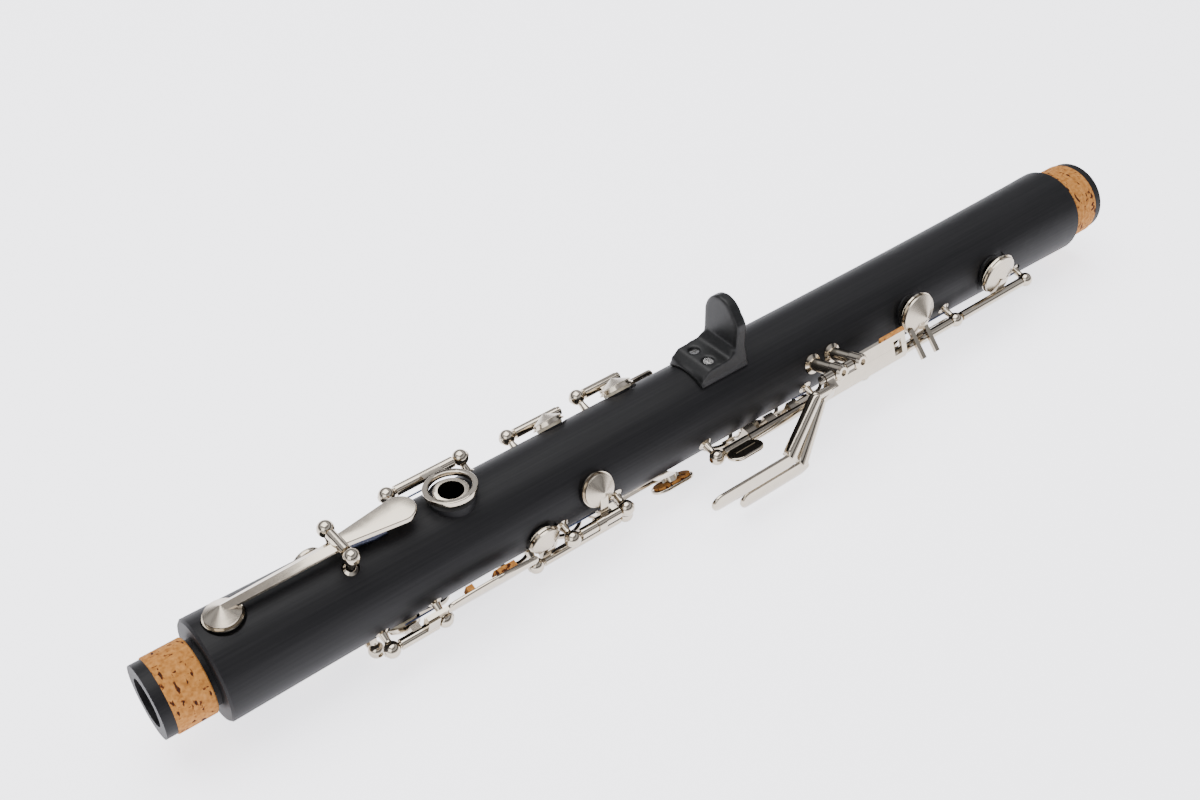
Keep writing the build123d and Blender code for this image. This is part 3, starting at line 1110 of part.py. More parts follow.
TAIL_IN = WAIST_RADIUS + 0.7
TAIL_THICKNESS = 1.0
TOUCH_PHI = 141.0
TOUCH_R = WAIST_RADIUS + 4.0
with BuildPart() as right_fsharp_touch:
    ends = span(FRONT_POSTS[0:2])
    add(tube(FRONT_LINE, *ends))
    add(arm(ends[0] + 1.2, ends[0] + 3.8, FRONT_LINE, 360 + FSHARP_TAIL_PHI - 2, TAIL_IN, TAIL_THICKNESS))
    add(arm(ends[0], ends[1], FRONT_LINE, TOUCH_PHI, TOUCH_R - 0.6))
    add(leaf(facing((ends[0] + ends[1]) / 2, TOUCH_PHI, TOUCH_R, TOUCH_PHI), 9.2, 9.0, PLATE_THICKNESS))
    add(bore_of(FRONT_LINE, *ends), mode=Mode.SUBTRACT)
right_fsharp_touch.part.label = "right_fsharp_touch"
export_step(right_fsharp_touch.part, "parts/right_fsharp_touch.step")
print("right_fs", right_fsharp_touch.part.is_valid, len(right_fsharp_touch.part.solids()))

with BuildPart() as right_e_touch:
    ends = span(FRONT_POSTS[1:3])
    add(tube(FRONT_LINE, *ends))
    add(arm(ends[0] + 1.4, ends[0] + 4.0, FRONT_LINE, 360 + LOW_E_BAR, TAIL_IN, TAIL_THICKNESS))
    add(arm(ends[0], ends[1], FRONT_LINE, TOUCH_PHI, TOUCH_R - 0.6))
    add(leaf(facing((ends[0] + ends[1]) / 2, TOUCH_PHI, TOUCH_R, TOUCH_PHI), 9.2, 9.0, PLATE_THICKNESS))
    add(bore_of(FRONT_LINE, *ends), mode=Mode.SUBTRACT)
right_e_touch.part.label = "right_e_touch"
export_step(right_e_touch.part, "parts/right_e_touch.step")
print("right_e", right_e_touch.part.is_valid, len(right_e_touch.part.solids()))

with BuildPart() as aflat_key:
    ends = span(FRONT_POSTS[2:4])
    add(cup_key(FRONT_LINE, FRONT_POSTS[2:4], (AFLAT_CUP[0], AFLAT_CUP[1] + 360), AFLAT_PAD))
    add(arm(ends[0], ends[1], FRONT_LINE, TOUCH_PHI - 8, TOUCH_R - 0.6))
    add(leaf(facing((ends[0] + ends[1]) / 2, TOUCH_PHI - 8, TOUCH_R, TOUCH_PHI - 8), 9.2, 9.0,
             PLATE_THICKNESS))
    add(bore_of(FRONT_LINE, *ends), mode=Mode.SUBTRACT)
    add(pad_room(*AFLAT_CUP, AFLAT_PAD), mode=Mode.SUBTRACT)
aflat_key.part.label = "aflat_key"
export_step(aflat_key.part, "parts/aflat_key.step")
print("aflat", aflat_key.part.is_valid, len(aflat_key.part.solids()))

with BuildPart() as f_shut:
    ends = span(FRONT_POSTS[3:5])
    add(cup_key(FRONT_LINE, FRONT_POSTS[3:5], LOW_F_CUP, LOW_F_PAD))
    add(arm(ends[0], ends[0] + 7.5, FRONT_LINE, TOUCH_PHI - 8, TOUCH_R - 0.6))
    add(leaf(facing(ends[0] + 3.6, TOUCH_PHI - 8, TOUCH_R, TOUCH_PHI - 8), 9.0, 8.8, PLATE_THICKNESS))
    add(bore_of(FRONT_LINE, *ends), mode=Mode.SUBTRACT)
    add(pad_room(*LOW_F_CUP, LOW_F_PAD), mode=Mode.SUBTRACT)
with BuildPart() as f_key:
    add(opened(f_shut.part, FRONT_LINE, LOW_F_OPEN))
f_key.part.label = "f_key"
export_step(f_key.part, "parts/f_key.step")
print("f_key", f_key.part.is_valid, len(f_key.part.solids()))

# ---- pads, one node for each key that has one, turned with the key where it stands open ----
PADS = [
    ("register_pad", REGISTER_CUP, REGISTER_PAD, (0.0, 0.0), 0),
    ("throat_a_pad", THROAT_A_CUP, SMALL_PAD, (0.0, 0.0), 0),
    ("throat_gsharp_pad", THROAT_G_CUP, SMALL_PAD, THROAT_G_LINE, 0),
    ("upper_ring_pad", UPPER_VENT, VENT_PAD, UPPER_RING_LINE, UPPER_RING_OPEN),
    ("left_sliver_pad", LEFT_SLIVER_CUP, SMALL_PAD, LEFT_SLIVER_LINE, 0),
    ("csharp_pad", CSHARP_CUP, CSHARP_PAD, CSHARP_LINE, 0),
    ("side_eb_pad", SIDE_EB_CUP, SMALL_PAD, SIDE_EB_LINE, 0),
    ("side_fsharp_pad", SIDE_FS_CUP, SIDE_FS_PAD, SIDE_FS_LINE, 0),
    ("trill_high_pad", TRILL_HIGH_CUP, SMALL_PAD, TRILL_HIGH_LINE, 0),
    ("trill_low_pad", TRILL_LOW_CUP, SMALL_PAD, TRILL_LOW_LINE, 0),
    ("lower_ring_pad", LOWER_VENT, VENT_PAD, LOWER_RING_LINE, LOWER_RING_OPEN),
    ("right_sliver_pad", RIGHT_SLIVER_CUP, SMALL_PAD, RIGHT_SLIVER_LINE, 0),
    ("fsharp_pad", FSHARP_CUP, FSHARP_PAD, FSHARP_LINE, FSHARP_OPEN),
    ("e_pad", LOW_E_CUP, LOW_E_PAD, LOW_E_LINE, LOW_E_OPEN),
    ("aflat_pad", AFLAT_CUP, AFLAT_PAD, FRONT_LINE, 0),
    ("f_pad", LOW_F_CUP, LOW_F_PAD, FRONT_LINE, LOW_F_OPEN),
]
for name, cup, radius, line, degrees in PADS:
    with BuildPart() as pad:
        add(opened(pad_disc(*cup, radius), line, degrees))
    pad.part.label = name
    export_step(pad.part, f"parts/{name}.step")

# ---- corks under the touches, and the needle springs ----
CORK_THICKNESS = 0.9
with BuildPart() as register_cork:
    with BuildSketch(Plane.XY.offset(REGISTER_UNDER + 1.3)):
        with Locations((REGISTER_X + 18.5, 0)):
            Circle(2.2)
    extrude(amount=-CORK_THICKNESS)
register_cork.part.label = "register_cork"
export_step(register_cork.part, "parts/register_cork.step")

with BuildPart() as csharp_spoon_cork:
    with BuildSketch(facing(*CSHARP_SPOON, CSHARP_SPOON_NORMAL)):
        SlotOverall(12.4, 5.6)
    extrude(amount=-0.5)
    add(plug(*CSHARP_SPOON[:2], CSHARP_BAR_IN - 1, CSHARP_SPOON[2] + 0.6, 2.0), mode=Mode.SUBTRACT)
    add(band(CSHARP_SPOON[0] - 3, CSHARP_SPOON[0] + 3, CSHARP_BAR - 4, CSHARP_SPOON[1],
             CSHARP_BAR_IN - 1, CSHARP_BAR_IN + 1.1), mode=Mode.SUBTRACT)
csharp_spoon_cork.part.label = "csharp_spoon_cork"
export_step(csharp_spoon_cork.part, "parts/csharp_spoon_cork.step")

SPRING_RADIUS = 0.25
SPRING_R = WAIST_RADIUS + 1.3
SPRING_STARTS = [
    (THROAT_G_POSTS[1], THROAT_G_LINE[0], -8.5),
    (THUMB_RING_POSTS[0], THUMB_RING_LINE[0], 8.5),
    (UPPER_RING_POSTS[1], UPPER_RING_LINE[0], -7.5),
    (LEFT_SLIVER_POSTS[0], LEFT_SLIVER_LINE[0], 8.0),
    (CSHARP_POSTS[0], CSHARP_LINE[0], 9.0),
    (TRILL_HIGH_POSTS[1], TRILL_HIGH_LINE[0], -12.0),
    (TRILL_LOW_POSTS[1], TRILL_LOW_LINE[0], -12.0),
    (LOWER_RING_POSTS[0], LOWER_RING_LINE[0], -5.4),
    (RIGHT_SLIVER_POSTS[1], RIGHT_SLIVER_LINE[0], -12.0),
    (FSHARP_POSTS[1], FSHARP_LINE[0], -12.0),
    (LOW_E_POST, LOW_E_LINE[0], -5.5),
]
with BuildPart() as needle_springs:
    for x, phi, length in SPRING_STARTS:
        start = x + (NECK_TOP_RADIUS + 0.3 if length > 0 else -NECK_TOP_RADIUS - 0.3)
        add(bar_along(min(start, start + length), max(start, start + length), phi, SPRING_R,
                      SPRING_RADIUS))
needle_springs.part.label = "needle_springs"
export_step(needle_springs.part, "parts/needle_springs.step")
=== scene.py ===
# %% [markdown]
# # A one-piece clarinet body, finished in Blender
#
# The working model arrives as a fixed frame: every key, post and pad is already in its place and
# knows the rigid body that it turns with. This notebook gives those parts their surfaces. The
# black tube, the plated keywork, the cork and the pads each get a finish of their own. The pads,
# the cup crowns and the long touches are made anew as smooth surfaces worked out with numpy.

# %% Load the frame
import json
import math

import bpy
import numpy as np
from mathutils import Matrix, Vector


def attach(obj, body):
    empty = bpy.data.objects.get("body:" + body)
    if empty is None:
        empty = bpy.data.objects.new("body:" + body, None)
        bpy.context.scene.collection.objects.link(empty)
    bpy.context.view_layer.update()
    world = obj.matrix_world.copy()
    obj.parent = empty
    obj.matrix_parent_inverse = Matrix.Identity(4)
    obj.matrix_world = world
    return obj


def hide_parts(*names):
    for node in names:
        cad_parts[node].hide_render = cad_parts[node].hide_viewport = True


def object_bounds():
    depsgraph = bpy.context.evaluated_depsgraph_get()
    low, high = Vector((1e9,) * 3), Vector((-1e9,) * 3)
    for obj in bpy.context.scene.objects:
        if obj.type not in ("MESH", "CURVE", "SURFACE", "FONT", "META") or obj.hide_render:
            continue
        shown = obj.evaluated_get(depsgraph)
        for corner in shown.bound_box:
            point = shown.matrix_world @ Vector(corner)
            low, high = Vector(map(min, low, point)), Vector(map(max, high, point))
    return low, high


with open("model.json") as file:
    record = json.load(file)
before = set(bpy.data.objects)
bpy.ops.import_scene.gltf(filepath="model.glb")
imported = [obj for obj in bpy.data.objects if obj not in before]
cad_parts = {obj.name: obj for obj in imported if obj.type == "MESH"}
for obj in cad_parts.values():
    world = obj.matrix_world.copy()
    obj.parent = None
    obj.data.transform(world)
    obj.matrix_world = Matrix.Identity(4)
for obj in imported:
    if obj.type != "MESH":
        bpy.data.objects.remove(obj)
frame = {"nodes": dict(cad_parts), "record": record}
cad_low, cad_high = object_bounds()

# %% [markdown]
# ## Where things are
#
# The frame's +X runs down the bore from the barrel shoulder, +Z comes out of the thumb hole and
# +Y is the player's right. A place on a clarinet is easiest to say as a distance along the bore,
# an angle round it and a radius, so a helper turns those three into a point. Makers work in
# millimetres, so the places here do too, and a finished grid is scaled to Blender's metres.

# %% Points round the bore
MM = 0.001
X_WAY = np.array([1.0, 0.0, 0.0])
Y_WAY = np.array([0.0, 1.0, 0.0])


def outward(phi):
    """Unit vector away from the bore at phi degrees, measured from +Z towards +Y."""
    angle = np.radians(phi)
    return np.array([0.0, math.sin(angle), math.cos(angle)])


def place(x, phi, r):
    """The point x along the bore, phi round it and r from it: x * X + r * outward(phi)."""
    return x * X_WAY + r * outward(phi)


print("thumb hole at", np.round(place(73, 0, 13), 1), "mm")

# %% [markdown]
# ## From numbers to meshes
#
# A smooth piece could be sculpted or built with modifiers, but a grid of points says exactly
# where its surface is: one parameter runs along the piece and the other round it. The last column
# joins the first, and one point at each end closes a fan, so the piece has no open edge.
# `from_pydata` takes the points and the faces as they are.

# %% A grid as a mesh
def object_from(name, points, faces, angle=35):
    """Mesh object, smooth except where two faces meet at more than angle degrees."""
    mesh = bpy.data.meshes.new(name)
    mesh.from_pydata(points.tolist(), [], faces)
    mesh.polygons.foreach_set("use_smooth", np.ones(len(mesh.polygons), bool))
    mesh.set_sharp_from_angle(angle=math.radians(angle))
    mesh.update()
    piece = bpy.data.objects.new(name, mesh)
    bpy.context.scene.collection.objects.link(piece)
    return piece


def tube_faces(rows, columns):
    """Quads of a grid that is closed round its columns, with a fan of triangles at each end.

    Row i holds points i * columns to (i + 1) * columns - 1. The two poles come after them all.
    """
    i, j = np.meshgrid(np.arange(rows - 1), np.arange(columns), indexing="ij")
    here, beside = i * columns + j, i * columns + (j + 1) % columns
    quads = np.stack([here, beside, beside + columns, here + columns], -1).reshape(-1, 4)
    ring = np.arange(columns)
    following = (ring + 1) % columns
    last_ring = (rows - 1) * columns
    first_pole, last_pole = rows * columns, rows * columns + 1
    start_fan = np.stack([np.full(columns, first_pole), following, ring], -1)
    end_fan = np.stack([last_ring + ring, last_ring + following, np.full(columns, last_pole)], -1)
    return quads.tolist() + start_fan.tolist() + end_fan.tolist()


def closed_tube(name, grid, angle):
    """Solid piece from a grid of rings, its ends closed at the middle of the end rings."""
    rows, columns, _ = grid.shape
    poles = np.array([grid[0].mean(0), grid[-1].mean(0)])
    points = np.vstack([grid.reshape(-1, 3), poles])
    return object_from(name, points, tube_faces(rows, columns), angle)


print("a tube of 3 rings of 8 points has", len(tube_faces(3, 8)), "faces")

# %% [markdown]
# ## Turned pieces
#
# Pads and cup crowns are round about one line, as if they came off a lathe. Blender's Screw
# modifier turns a profile too, but only about an object's own axis. Here the profile is carried
# round any line, so the piece is made where it belongs and its object stays at the origin.

# %% Surfaces of revolution
ALONG_BORE_LIMIT = 0.9


def lathe(profile, origin, axis, columns):
    """Grid whose point at (i, j) is origin + height_i * axis + radius_i * (cos, sin) round it.

    The profile is (radius, height) in millimetres, and angle j starts from X_WAY, or from Y_WAY
    where the axis lies along the bore.
    """
    side = X_WAY if abs(axis[0]) < ALONG_BORE_LIMIT else Y_WAY
    third = np.cross(axis, side)
    angle = np.linspace(0, 2 * np.pi, columns, endpoint=False)
    rim = np.cos(angle)[:, None] * side + np.sin(angle)[:, None] * third
    profile = np.asarray(profile, float) * MM
    return origin + profile[:, None, 1:2] * axis + profile[:, None, 0:1] * rim[None]


washer = lathe([(1, 0), (2, 0), (2, 1), (1, 1)], np.zeros(3), outward(0), 64)
print("a turned profile of 4 points gives", washer.shape, "points")

# %% [markdown]
# ## Patterns for the finishes
#
# Streaks, haze and grain could be painted, but a noise pattern on the object's own coordinates
# has no seam, keeps its scale on every part and turns with a key. The helpers below make one
# noise, a colour ramp, a change of range and a bump, which is all that the finishes need.

# %% Shader helpers
def blank_material(name):
    """Material with its nodes, its links and its one shader."""
    material = bpy.data.materials.new(name)
    material.use_nodes = True
    nodes = material.node_tree.nodes
    return material, nodes, material.node_tree.links, nodes["Principled BSDF"]


def noise(nodes, links, scale, stretch=(1, 1, 1), detail=4.0):
    """Noise value on the object's own coordinates, stretched by a scale on each axis."""
    where = nodes.new("ShaderNodeTexCoord")
    mapping = nodes.new("ShaderNodeMapping")
    mapping.inputs["Scale"].default_value = stretch
    pattern = nodes.new("ShaderNodeTexNoise")
    pattern.inputs["Scale"].default_value = scale
    pattern.inputs["Detail"].default_value = detail
    links.new(where.outputs["Object"], mapping.inputs["Vector"])
    links.new(mapping.outputs["Vector"], pattern.inputs["Vector"])
    return pattern.outputs["Fac"]


def ramp(nodes, links, source, stops):
    """Colour from a value, through (position, colour) stops."""
    band = nodes.new("ShaderNodeValToRGB")
    first, last = band.color_ramp.elements
    first.position, first.color = stops[0]
    last.position, last.color = stops[-1]
    for position, colour in stops[1:-1]:
        band.color_ramp.elements.new(position).color = colour
    links.new(source, band.inputs["Fac"])
    return band.outputs["Color"]


def spread(nodes, links, source, low, high):
    """Value moved from 0..1 to low..high."""
    fit = nodes.new("ShaderNodeMapRange")
    fit.inputs["To Min"].default_value = low
    fit.inputs["To Max"].default_value = high
    links.new(source, fit.inputs["Value"])
    return fit.outputs["Result"]


def relief(nodes, links, shader, source, strength, depth):
    """Bump from a value, depth in metres."""
    bump = nodes.new("ShaderNodeBump")
    bump.inputs["Strength"].default_value = strength
    bump.inputs["Distance"].default_value = depth
    links.new(source, bump.inputs["Height"])
    links.new(bump.outputs["Normal"], shader.inputs["Normal"])


def tone(colour, share=1.0):
    """Opaque colour with its three parts scaled by share."""
    return tuple(share * part for part in colour) + (1,)


print("half of a mid grey is", tone((0.5, 0.5, 0.5), 0.5))

# %% [markdown]
# ## Black body
#
# The tube is turned from a hard black material and rubbed down lengthwise, so it is satin: a broad
# soft highlight with fine streaks that run along the bore. Stretching a noise pattern along X
# gives the streaks, and a slower noise varies the sheen as handling does. The moulded rest and
# the polished linings are the same black with an even, finer pattern and a closer shine.

# %% Black finishes
RUBBED_ALONG = (30, 1500, 1500)
MOULD_GRAIN = (900, 900, 900)
POLISH_MARKS = (300, 300, 300)
HANDLING_SCALE = 55.0
STREAK_DEPTH = 0.03 * MM


def satin_black(name, dark, light, roughness, gloss, streak, bump):
    """Black between two tones on a streak pattern, its roughness between two on a slow one."""
    material, nodes, links, shader = blank_material(name)
    shader.inputs["Specular IOR Level"].default_value = gloss
    streaks = noise(nodes, links, 1.0, streak, 3.0)
    slow = noise(nodes, links, HANDLING_SCALE)
    tint = ramp(nodes, links, streaks, [(0.3, tone(dark)), (0.7, tone(light))])
    links.new(tint, shader.inputs["Base Color"])
    links.new(spread(nodes, links, slow, *roughness), shader.inputs["Roughness"])
    relief(nodes, links, shader, streaks, bump, STREAK_DEPTH)
    return material


body_black = satin_black("rubbed_black_body", (0.0045, 0.0045, 0.0050), (0.0085, 0.0082, 0.0088),
                         (0.48, 0.58), 0.17, RUBBED_ALONG, 0.12)
moulded_black = satin_black("moulded_black_rest", (0.004, 0.004, 0.004), (0.007, 0.007, 0.007),
                            (0.34, 0.46), 0.24, MOULD_GRAIN, 0.15)
polished_black = satin_black("polished_black_insert", (0.004, 0.004, 0.004), (0.006, 0.006, 0.006),
                             (0.18, 0.26), 0.35, POLISH_MARKS, 0.05)
print("black finishes", body_black.name, moulded_black.name, polished_black.name)

# %% [markdown]
# ## Nickel plate
#
# The keys are nickel silver, polished and plated with nickel. Nickel is a little warmer than
# chrome. A hand polish is never perfect, so a fine noise moves the roughness a little, and a
# shallow, slow relief bends the reflections the way a buffed surface does.

# %% Plated metal
HAZE_SCALE, BUFF_SCALE = 420.0, 160.0
BUFF_STRENGTH, BUFF_DEPTH = 0.05, 0.4 * MM


def plated(name, colour, roughness):
    """Polished metal: a fine haze moves its tone and roughness, and a slow wave its normal."""
    material, nodes, links, shader = blank_material(name)
    shader.inputs["Metallic"].default_value = 1.0
    haze = noise(nodes, links, HAZE_SCALE, detail=6.0)
    wave = noise(nodes, links, BUFF_SCALE, detail=1.0)
    cloud = ramp(nodes, links, haze, [(0.25, tone(colour, 0.93)), (0.75, tone(colour))])
    links.new(cloud, shader.inputs["Base Color"])
    links.new(spread(nodes, links, haze, *roughness), shader.inputs["Roughness"])
    relief(nodes, links, shader, wave, BUFF_STRENGTH, BUFF_DEPTH)
    return material


NICKEL = (0.47, 0.415, 0.335)
nickel = plated("nickel_plate", NICKEL, (0.07, 0.15))
screw_steel = plated("polished_screw", (0.62, 0.61, 0.60), (0.18, 0.30))
blued_steel = plated("blued_spring", (0.10, 0.12, 0.20), (0.22, 0.34))
print("metals", nickel.name, screw_steel.name, blued_steel.name)

# %% [markdown]
# ## Cork and pad skin
#
# Sheet cork is a warm tan with darker marks of every size. A fine noise makes the tan, and two
# coarser ones are cut off low by their ramps, so that only their deepest spots show: one leaves
# small flecks and the other leaves fewer, longer pores. The marks multiply the tan, and the
# result pushes the surface in. A pad is felt under a thin cream skin, so it is matt, nearly even,
# and only faintly cloudy.

# %% Soft finishes
WHITE = (1, 1, 1, 1)
MIX_FIRST, MIX_SECOND, MIX_RESULT = 6, 7, 2  # the colour sockets of a Mix node


def cork_finish(name):
    """Orange-tan sheet cork: fine grain, small dark flecks and fewer, longer pores."""
    material, nodes, links, shader = blank_material(name)
    shader.inputs["Roughness"].default_value = 0.86
    shader.inputs["Specular IOR Level"].default_value = 0.2
    grain = noise(nodes, links, 900.0, detail=8.0)
    flecks = noise(nodes, links, 620.0, (0.75, 1.3, 1.0), 2.0)
    pores = noise(nodes, links, 330.0, (1.9, 0.9, 0.7), 3.0)
    result = ramp(nodes, links, grain, [
        (0.30, (0.25, 0.095, 0.018, 1)), (0.48, (0.36, 0.150, 0.032, 1)),
        (0.72, (0.46, 0.21, 0.055, 1))])
    small = ramp(nodes, links, flecks, [
        (0.29, (0.10, 0.05, 0.03, 1)), (0.325, (0.35, 0.22, 0.15, 1)), (0.35, WHITE)])
    long = ramp(nodes, links, pores, [
        (0.34, (0.09, 0.045, 0.03, 1)), (0.365, (0.34, 0.22, 0.15, 1)), (0.385, WHITE)])
    for marks in (small, long):
        mix = nodes.new("ShaderNodeMix")
        mix.data_type = "RGBA"
        mix.blend_type = "MULTIPLY"
        mix.inputs["Factor"].default_value = 1.0
        links.new(result, mix.inputs[MIX_FIRST])
        links.new(marks, mix.inputs[MIX_SECOND])
        result = mix.outputs[MIX_RESULT]
    links.new(result, shader.inputs["Base Color"])
    relief(nodes, links, shader, result, 0.6, 0.3 * MM)
    return material


def pad_finish(name):
    """Cream skin over felt: one faint cloud for its tone and its relief."""
    material, nodes, links, shader = blank_material(name)
    shader.inputs["Roughness"].default_value = 0.62
    cloud = noise(nodes, links, 700.0, detail=5.0)
    cream = ramp(nodes, links, cloud, [
        (0.3, (0.66, 0.56, 0.40, 1)), (0.7, (0.80, 0.72, 0.56, 1))])
    links.new(cream, shader.inputs["Base Color"])
    relief(nodes, links, shader, cloud, 0.25, 0.08 * MM)
    return material


cork = cork_finish("sheet_cork")
pad_skin = pad_finish("pad_skin")
print("soft finishes", cork.name, pad_skin.name)

# %% [markdown]
# ## Where each finish goes
#
# The record that came with the frame names a body and a material slot for every part. Every new
# piece is settled in one place: it takes the finish of its slot, rides on its body, and the
# working part that it stands for is hidden.

# %% Bodies, slots and finishes
SLOT_FINISH = {"body": body_black, "thumb_rest": moulded_black, "inserts": polished_black,
               "keywork": nickel, "screws": screw_steel, "spring_steel": blued_steel,
               "cork": cork, "pad": pad_skin}
SLOT_OF = {part["node"]: part["material_slot"] for part in frame["record"]["subparts"]}
BODY_OF = {node: body for body, nodes in frame["record"]["behaviour"]["bodies"].items()
           for node in nodes}
PADS = sorted(node for node in SLOT_OF if node.endswith("_pad"))


def settle(piece, body, slot, stands_for, finish=None):
    """Finish a piece by its slot or as given, hang it on its body, hide the part it stands for."""
    piece.data.materials.append(finish or SLOT_FINISH[slot])
    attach(piece, body)
    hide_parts(stands_for)
    return piece


print("slots", len(SLOT_FINISH), "parts", len(SLOT_OF), "pads", len(PADS))

# %% [markdown]
# ## Welding the working parts
#
# A part from the frame comes as loose triangles, which shade as flat facets. Its own mesh must
# stay as it is, so a copy is made whose points are welded where they share a place. The copy is
# shaded smooth except across real edges, so a hinge tube looks round and a pad cup keeps its
# crisp lip. The thumb hole is lined with a metal bush, so that one part takes the keys' finish.

# %% Weld, shade and finish every carried-over part
MICROMETRE = 1e-6
REAL_EDGE = 32
METAL_BUSH = {"thumb_hole_insert": "keywork"}


def node_points(node):
    """Points of a working part's mesh in metres, a row for each."""
    vertices = frame["nodes"][node].data.vertices
    points = np.empty(len(vertices) * 3, np.float32)
    vertices.foreach_get("co", points)
    return points.reshape(-1, 3)


def welded(node):
    """Copy of a node with its points merged to a micrometre and its empty triangles left out."""
    points = node_points(node)
    loops = frame["nodes"][node].data.loops
    corners = np.empty(len(loops), np.int32)
    loops.foreach_get("vertex_index", corners)
    _, kept, index = np.unique(np.round(points / MICROMETRE).astype(np.int64), axis=0,
                               return_index=True, return_inverse=True)
    faces = index.reshape(-1)[corners].reshape(-1, 3)
    whole = (faces != np.roll(faces, -1, axis=1)).all(axis=1)
    return object_from(node + "_finished", points[kept], faces[whole].tolist(), REAL_EDGE)


finished = {}
for node, slot in SLOT_OF.items():
    if node not in PADS:
        finished[node] = settle(welded(node), BODY_OF[node], METAL_BUSH.get(node, slot), node)
total = sum(len(piece.data.polygons) for piece in finished.values())
print("welded", len(finished), "parts,", total, "faces")

# %% [markdown]
# ## A moulded thumb rest
#
# The thumb rest is moulded, so it has no sharp edge anywhere. A bevel would need every edge picked
# out. Instead its flat-sided working shape is rebuilt as an even skin of small cells, and the skin
# is then relaxed: each pass moves a point half way to the middle of its neighbours, which rounds
# every edge by the same small amount.

# %% Rounded rest
REST_CELL = 0.35 * MM
REST_PASSES = 18

rest = finished["thumb_rest"]
skin = rest.modifiers.new("even_skin", "REMESH")
skin.mode = "VOXEL"
skin.voxel_size = REST_CELL
skin.use_smooth_shade = True
ease = rest.modifiers.new("ease_edges", "SMOOTH")
ease.factor = 0.5
ease.iterations = REST_PASSES
print("thumb rest eased over", ease.iterations, "passes")

# %% [markdown]
# ## Pads
#
# A pad sits in its cup with a rounded rim, and its seat has pressed a faint ring into its face.
# It is turned, not sculpted: a flat back, a rim rounded to the pad's full thickness, and a face
# with a shallow groove where the tone hole's edge lands. Each pad is made where its working part
# lies, with its axis and radius measured from that part.

# %% Measure a disc
def disc_axis(node):
    """Centre, axis, radius and thickness of a thin disc, in metres, from the spread of its points.

    The axis is the direction in which the points vary least, taken to point away from the bore.
    """
    points = np.unique(node_points(node), axis=0).astype(float)
    centre = (points.min(0) + points.max(0)) / 2
    _, _, directions = np.linalg.svd(points - points.mean(0), full_matrices=False)
    axis = directions[2]
    if axis @ (centre * [0, 1, 1]) < 0:
        axis = -axis
    height = (points - centre) @ axis
    centre = centre + axis * (height.max() + height.min()) / 2
    offset = points - centre
    radius = np.linalg.norm(offset - np.outer(offset @ axis, axis), axis=1).max()
    return centre, axis, radius, height.max() - height.min()


for node in PADS:
    print(node, "is", round(2 * disc_axis(node)[2] / MM, 2), "mm across")

# %% Sixteen pads
RIM_ROUND = 0.3
FACE_INSET = 0.35
EYE = 0.15
GROOVE_SHARE, GROOVE_DEPTH, GROOVE_WIDTH = 0.68, 0.09, 0.28
PAD_COLUMNS = 56


def pad_profile(radius, thick):
    """Half outline of a pad in millimetres, from the middle of its back to that of its face.

    The rim is half an ellipse, RIM_ROUND wide and as tall as the pad. The face is pushed in by
    GROOVE_DEPTH * exp(-((r - GROOVE_SHARE * radius) / GROOVE_WIDTH) ** 2) at the radius r.
    """
    turn = np.linspace(np.pi / 2, -np.pi / 2, 13)
    rim = np.stack([radius - RIM_ROUND + RIM_ROUND * np.cos(turn), thick / 2 * np.sin(turn)], -1)
    across = np.linspace(radius - FACE_INSET, EYE, 14)
    groove = GROOVE_DEPTH * np.exp(-((across - radius * GROOVE_SHARE) / GROOVE_WIDTH) ** 2)
    face = np.stack([across, -thick / 2 + groove], -1)
    back = np.array([[EYE, thick / 2], [radius * 0.6, thick / 2]])
    return np.vstack([back, rim, face])


for node in PADS:
    centre, axis, radius, thick = disc_axis(node)
    grid = lathe(pad_profile(radius / MM, thick / MM), centre, axis, PAD_COLUMNS)
    pad = closed_tube(node + "_skin", grid[::-1], 60)
    settle(pad, BODY_OF[node], "pad", node)
print("pads", len(PADS))

# %% [markdown]
# ## Turned crowns
#
# A pad cup's crown is a cone faced on a lathe. Its fine turning marks run round it, and on such a
# surface light gathers in wedges that point at the middle. The marks are too fine to model, so
# the shader is told that the polish has a direction: the crown carries a UV map whose first axis
# runs round the cone, the tangent follows that axis, and the highlight stretches across it.

# %% Turned metal
RING_STRETCH = (2.0, 40.0, 1.0)
RING_STRENGTH, RING_DEPTH = 0.15, 0.03 * MM


def turned_metal(name, colour, roughness, stretch):
    """Metal polished along the first axis of its UV map, with rings of light and dark."""
    material, nodes, links, shader = blank_material(name)
    shader.inputs["Metallic"].default_value = 1.0
    shader.inputs["Roughness"].default_value = roughness
    shader.inputs["Anisotropic"].default_value = stretch
    tangent = nodes.new("ShaderNodeTangent")
    tangent.direction_type = "UV_MAP"
    tangent.uv_map = "around"
    links.new(tangent.outputs["Tangent"], shader.inputs["Tangent"])
    place_on = nodes.new("ShaderNodeUVMap")
    place_on.uv_map = "around"
    mapping = nodes.new("ShaderNodeMapping")
    mapping.inputs["Scale"].default_value = RING_STRETCH
    rings = nodes.new("ShaderNodeTexNoise")
    rings.inputs["Scale"].default_value = 1.0
    links.new(place_on.outputs["UV"], mapping.inputs["Vector"])
    links.new(mapping.outputs["Vector"], rings.inputs["Vector"])
    marks = ramp(nodes, links, rings.outputs["Fac"],
                 [(0.3, tone(colour, 0.88)), (0.7, tone(colour))])
    links.new(marks, shader.inputs["Base Color"])
    relief(nodes, links, shader, rings.outputs["Fac"], RING_STRENGTH, RING_DEPTH)
    return material


turned_nickel = turned_metal("turned_nickel", NICKEL, 0.24, 0.85)
print("crown finish", turned_nickel.name)


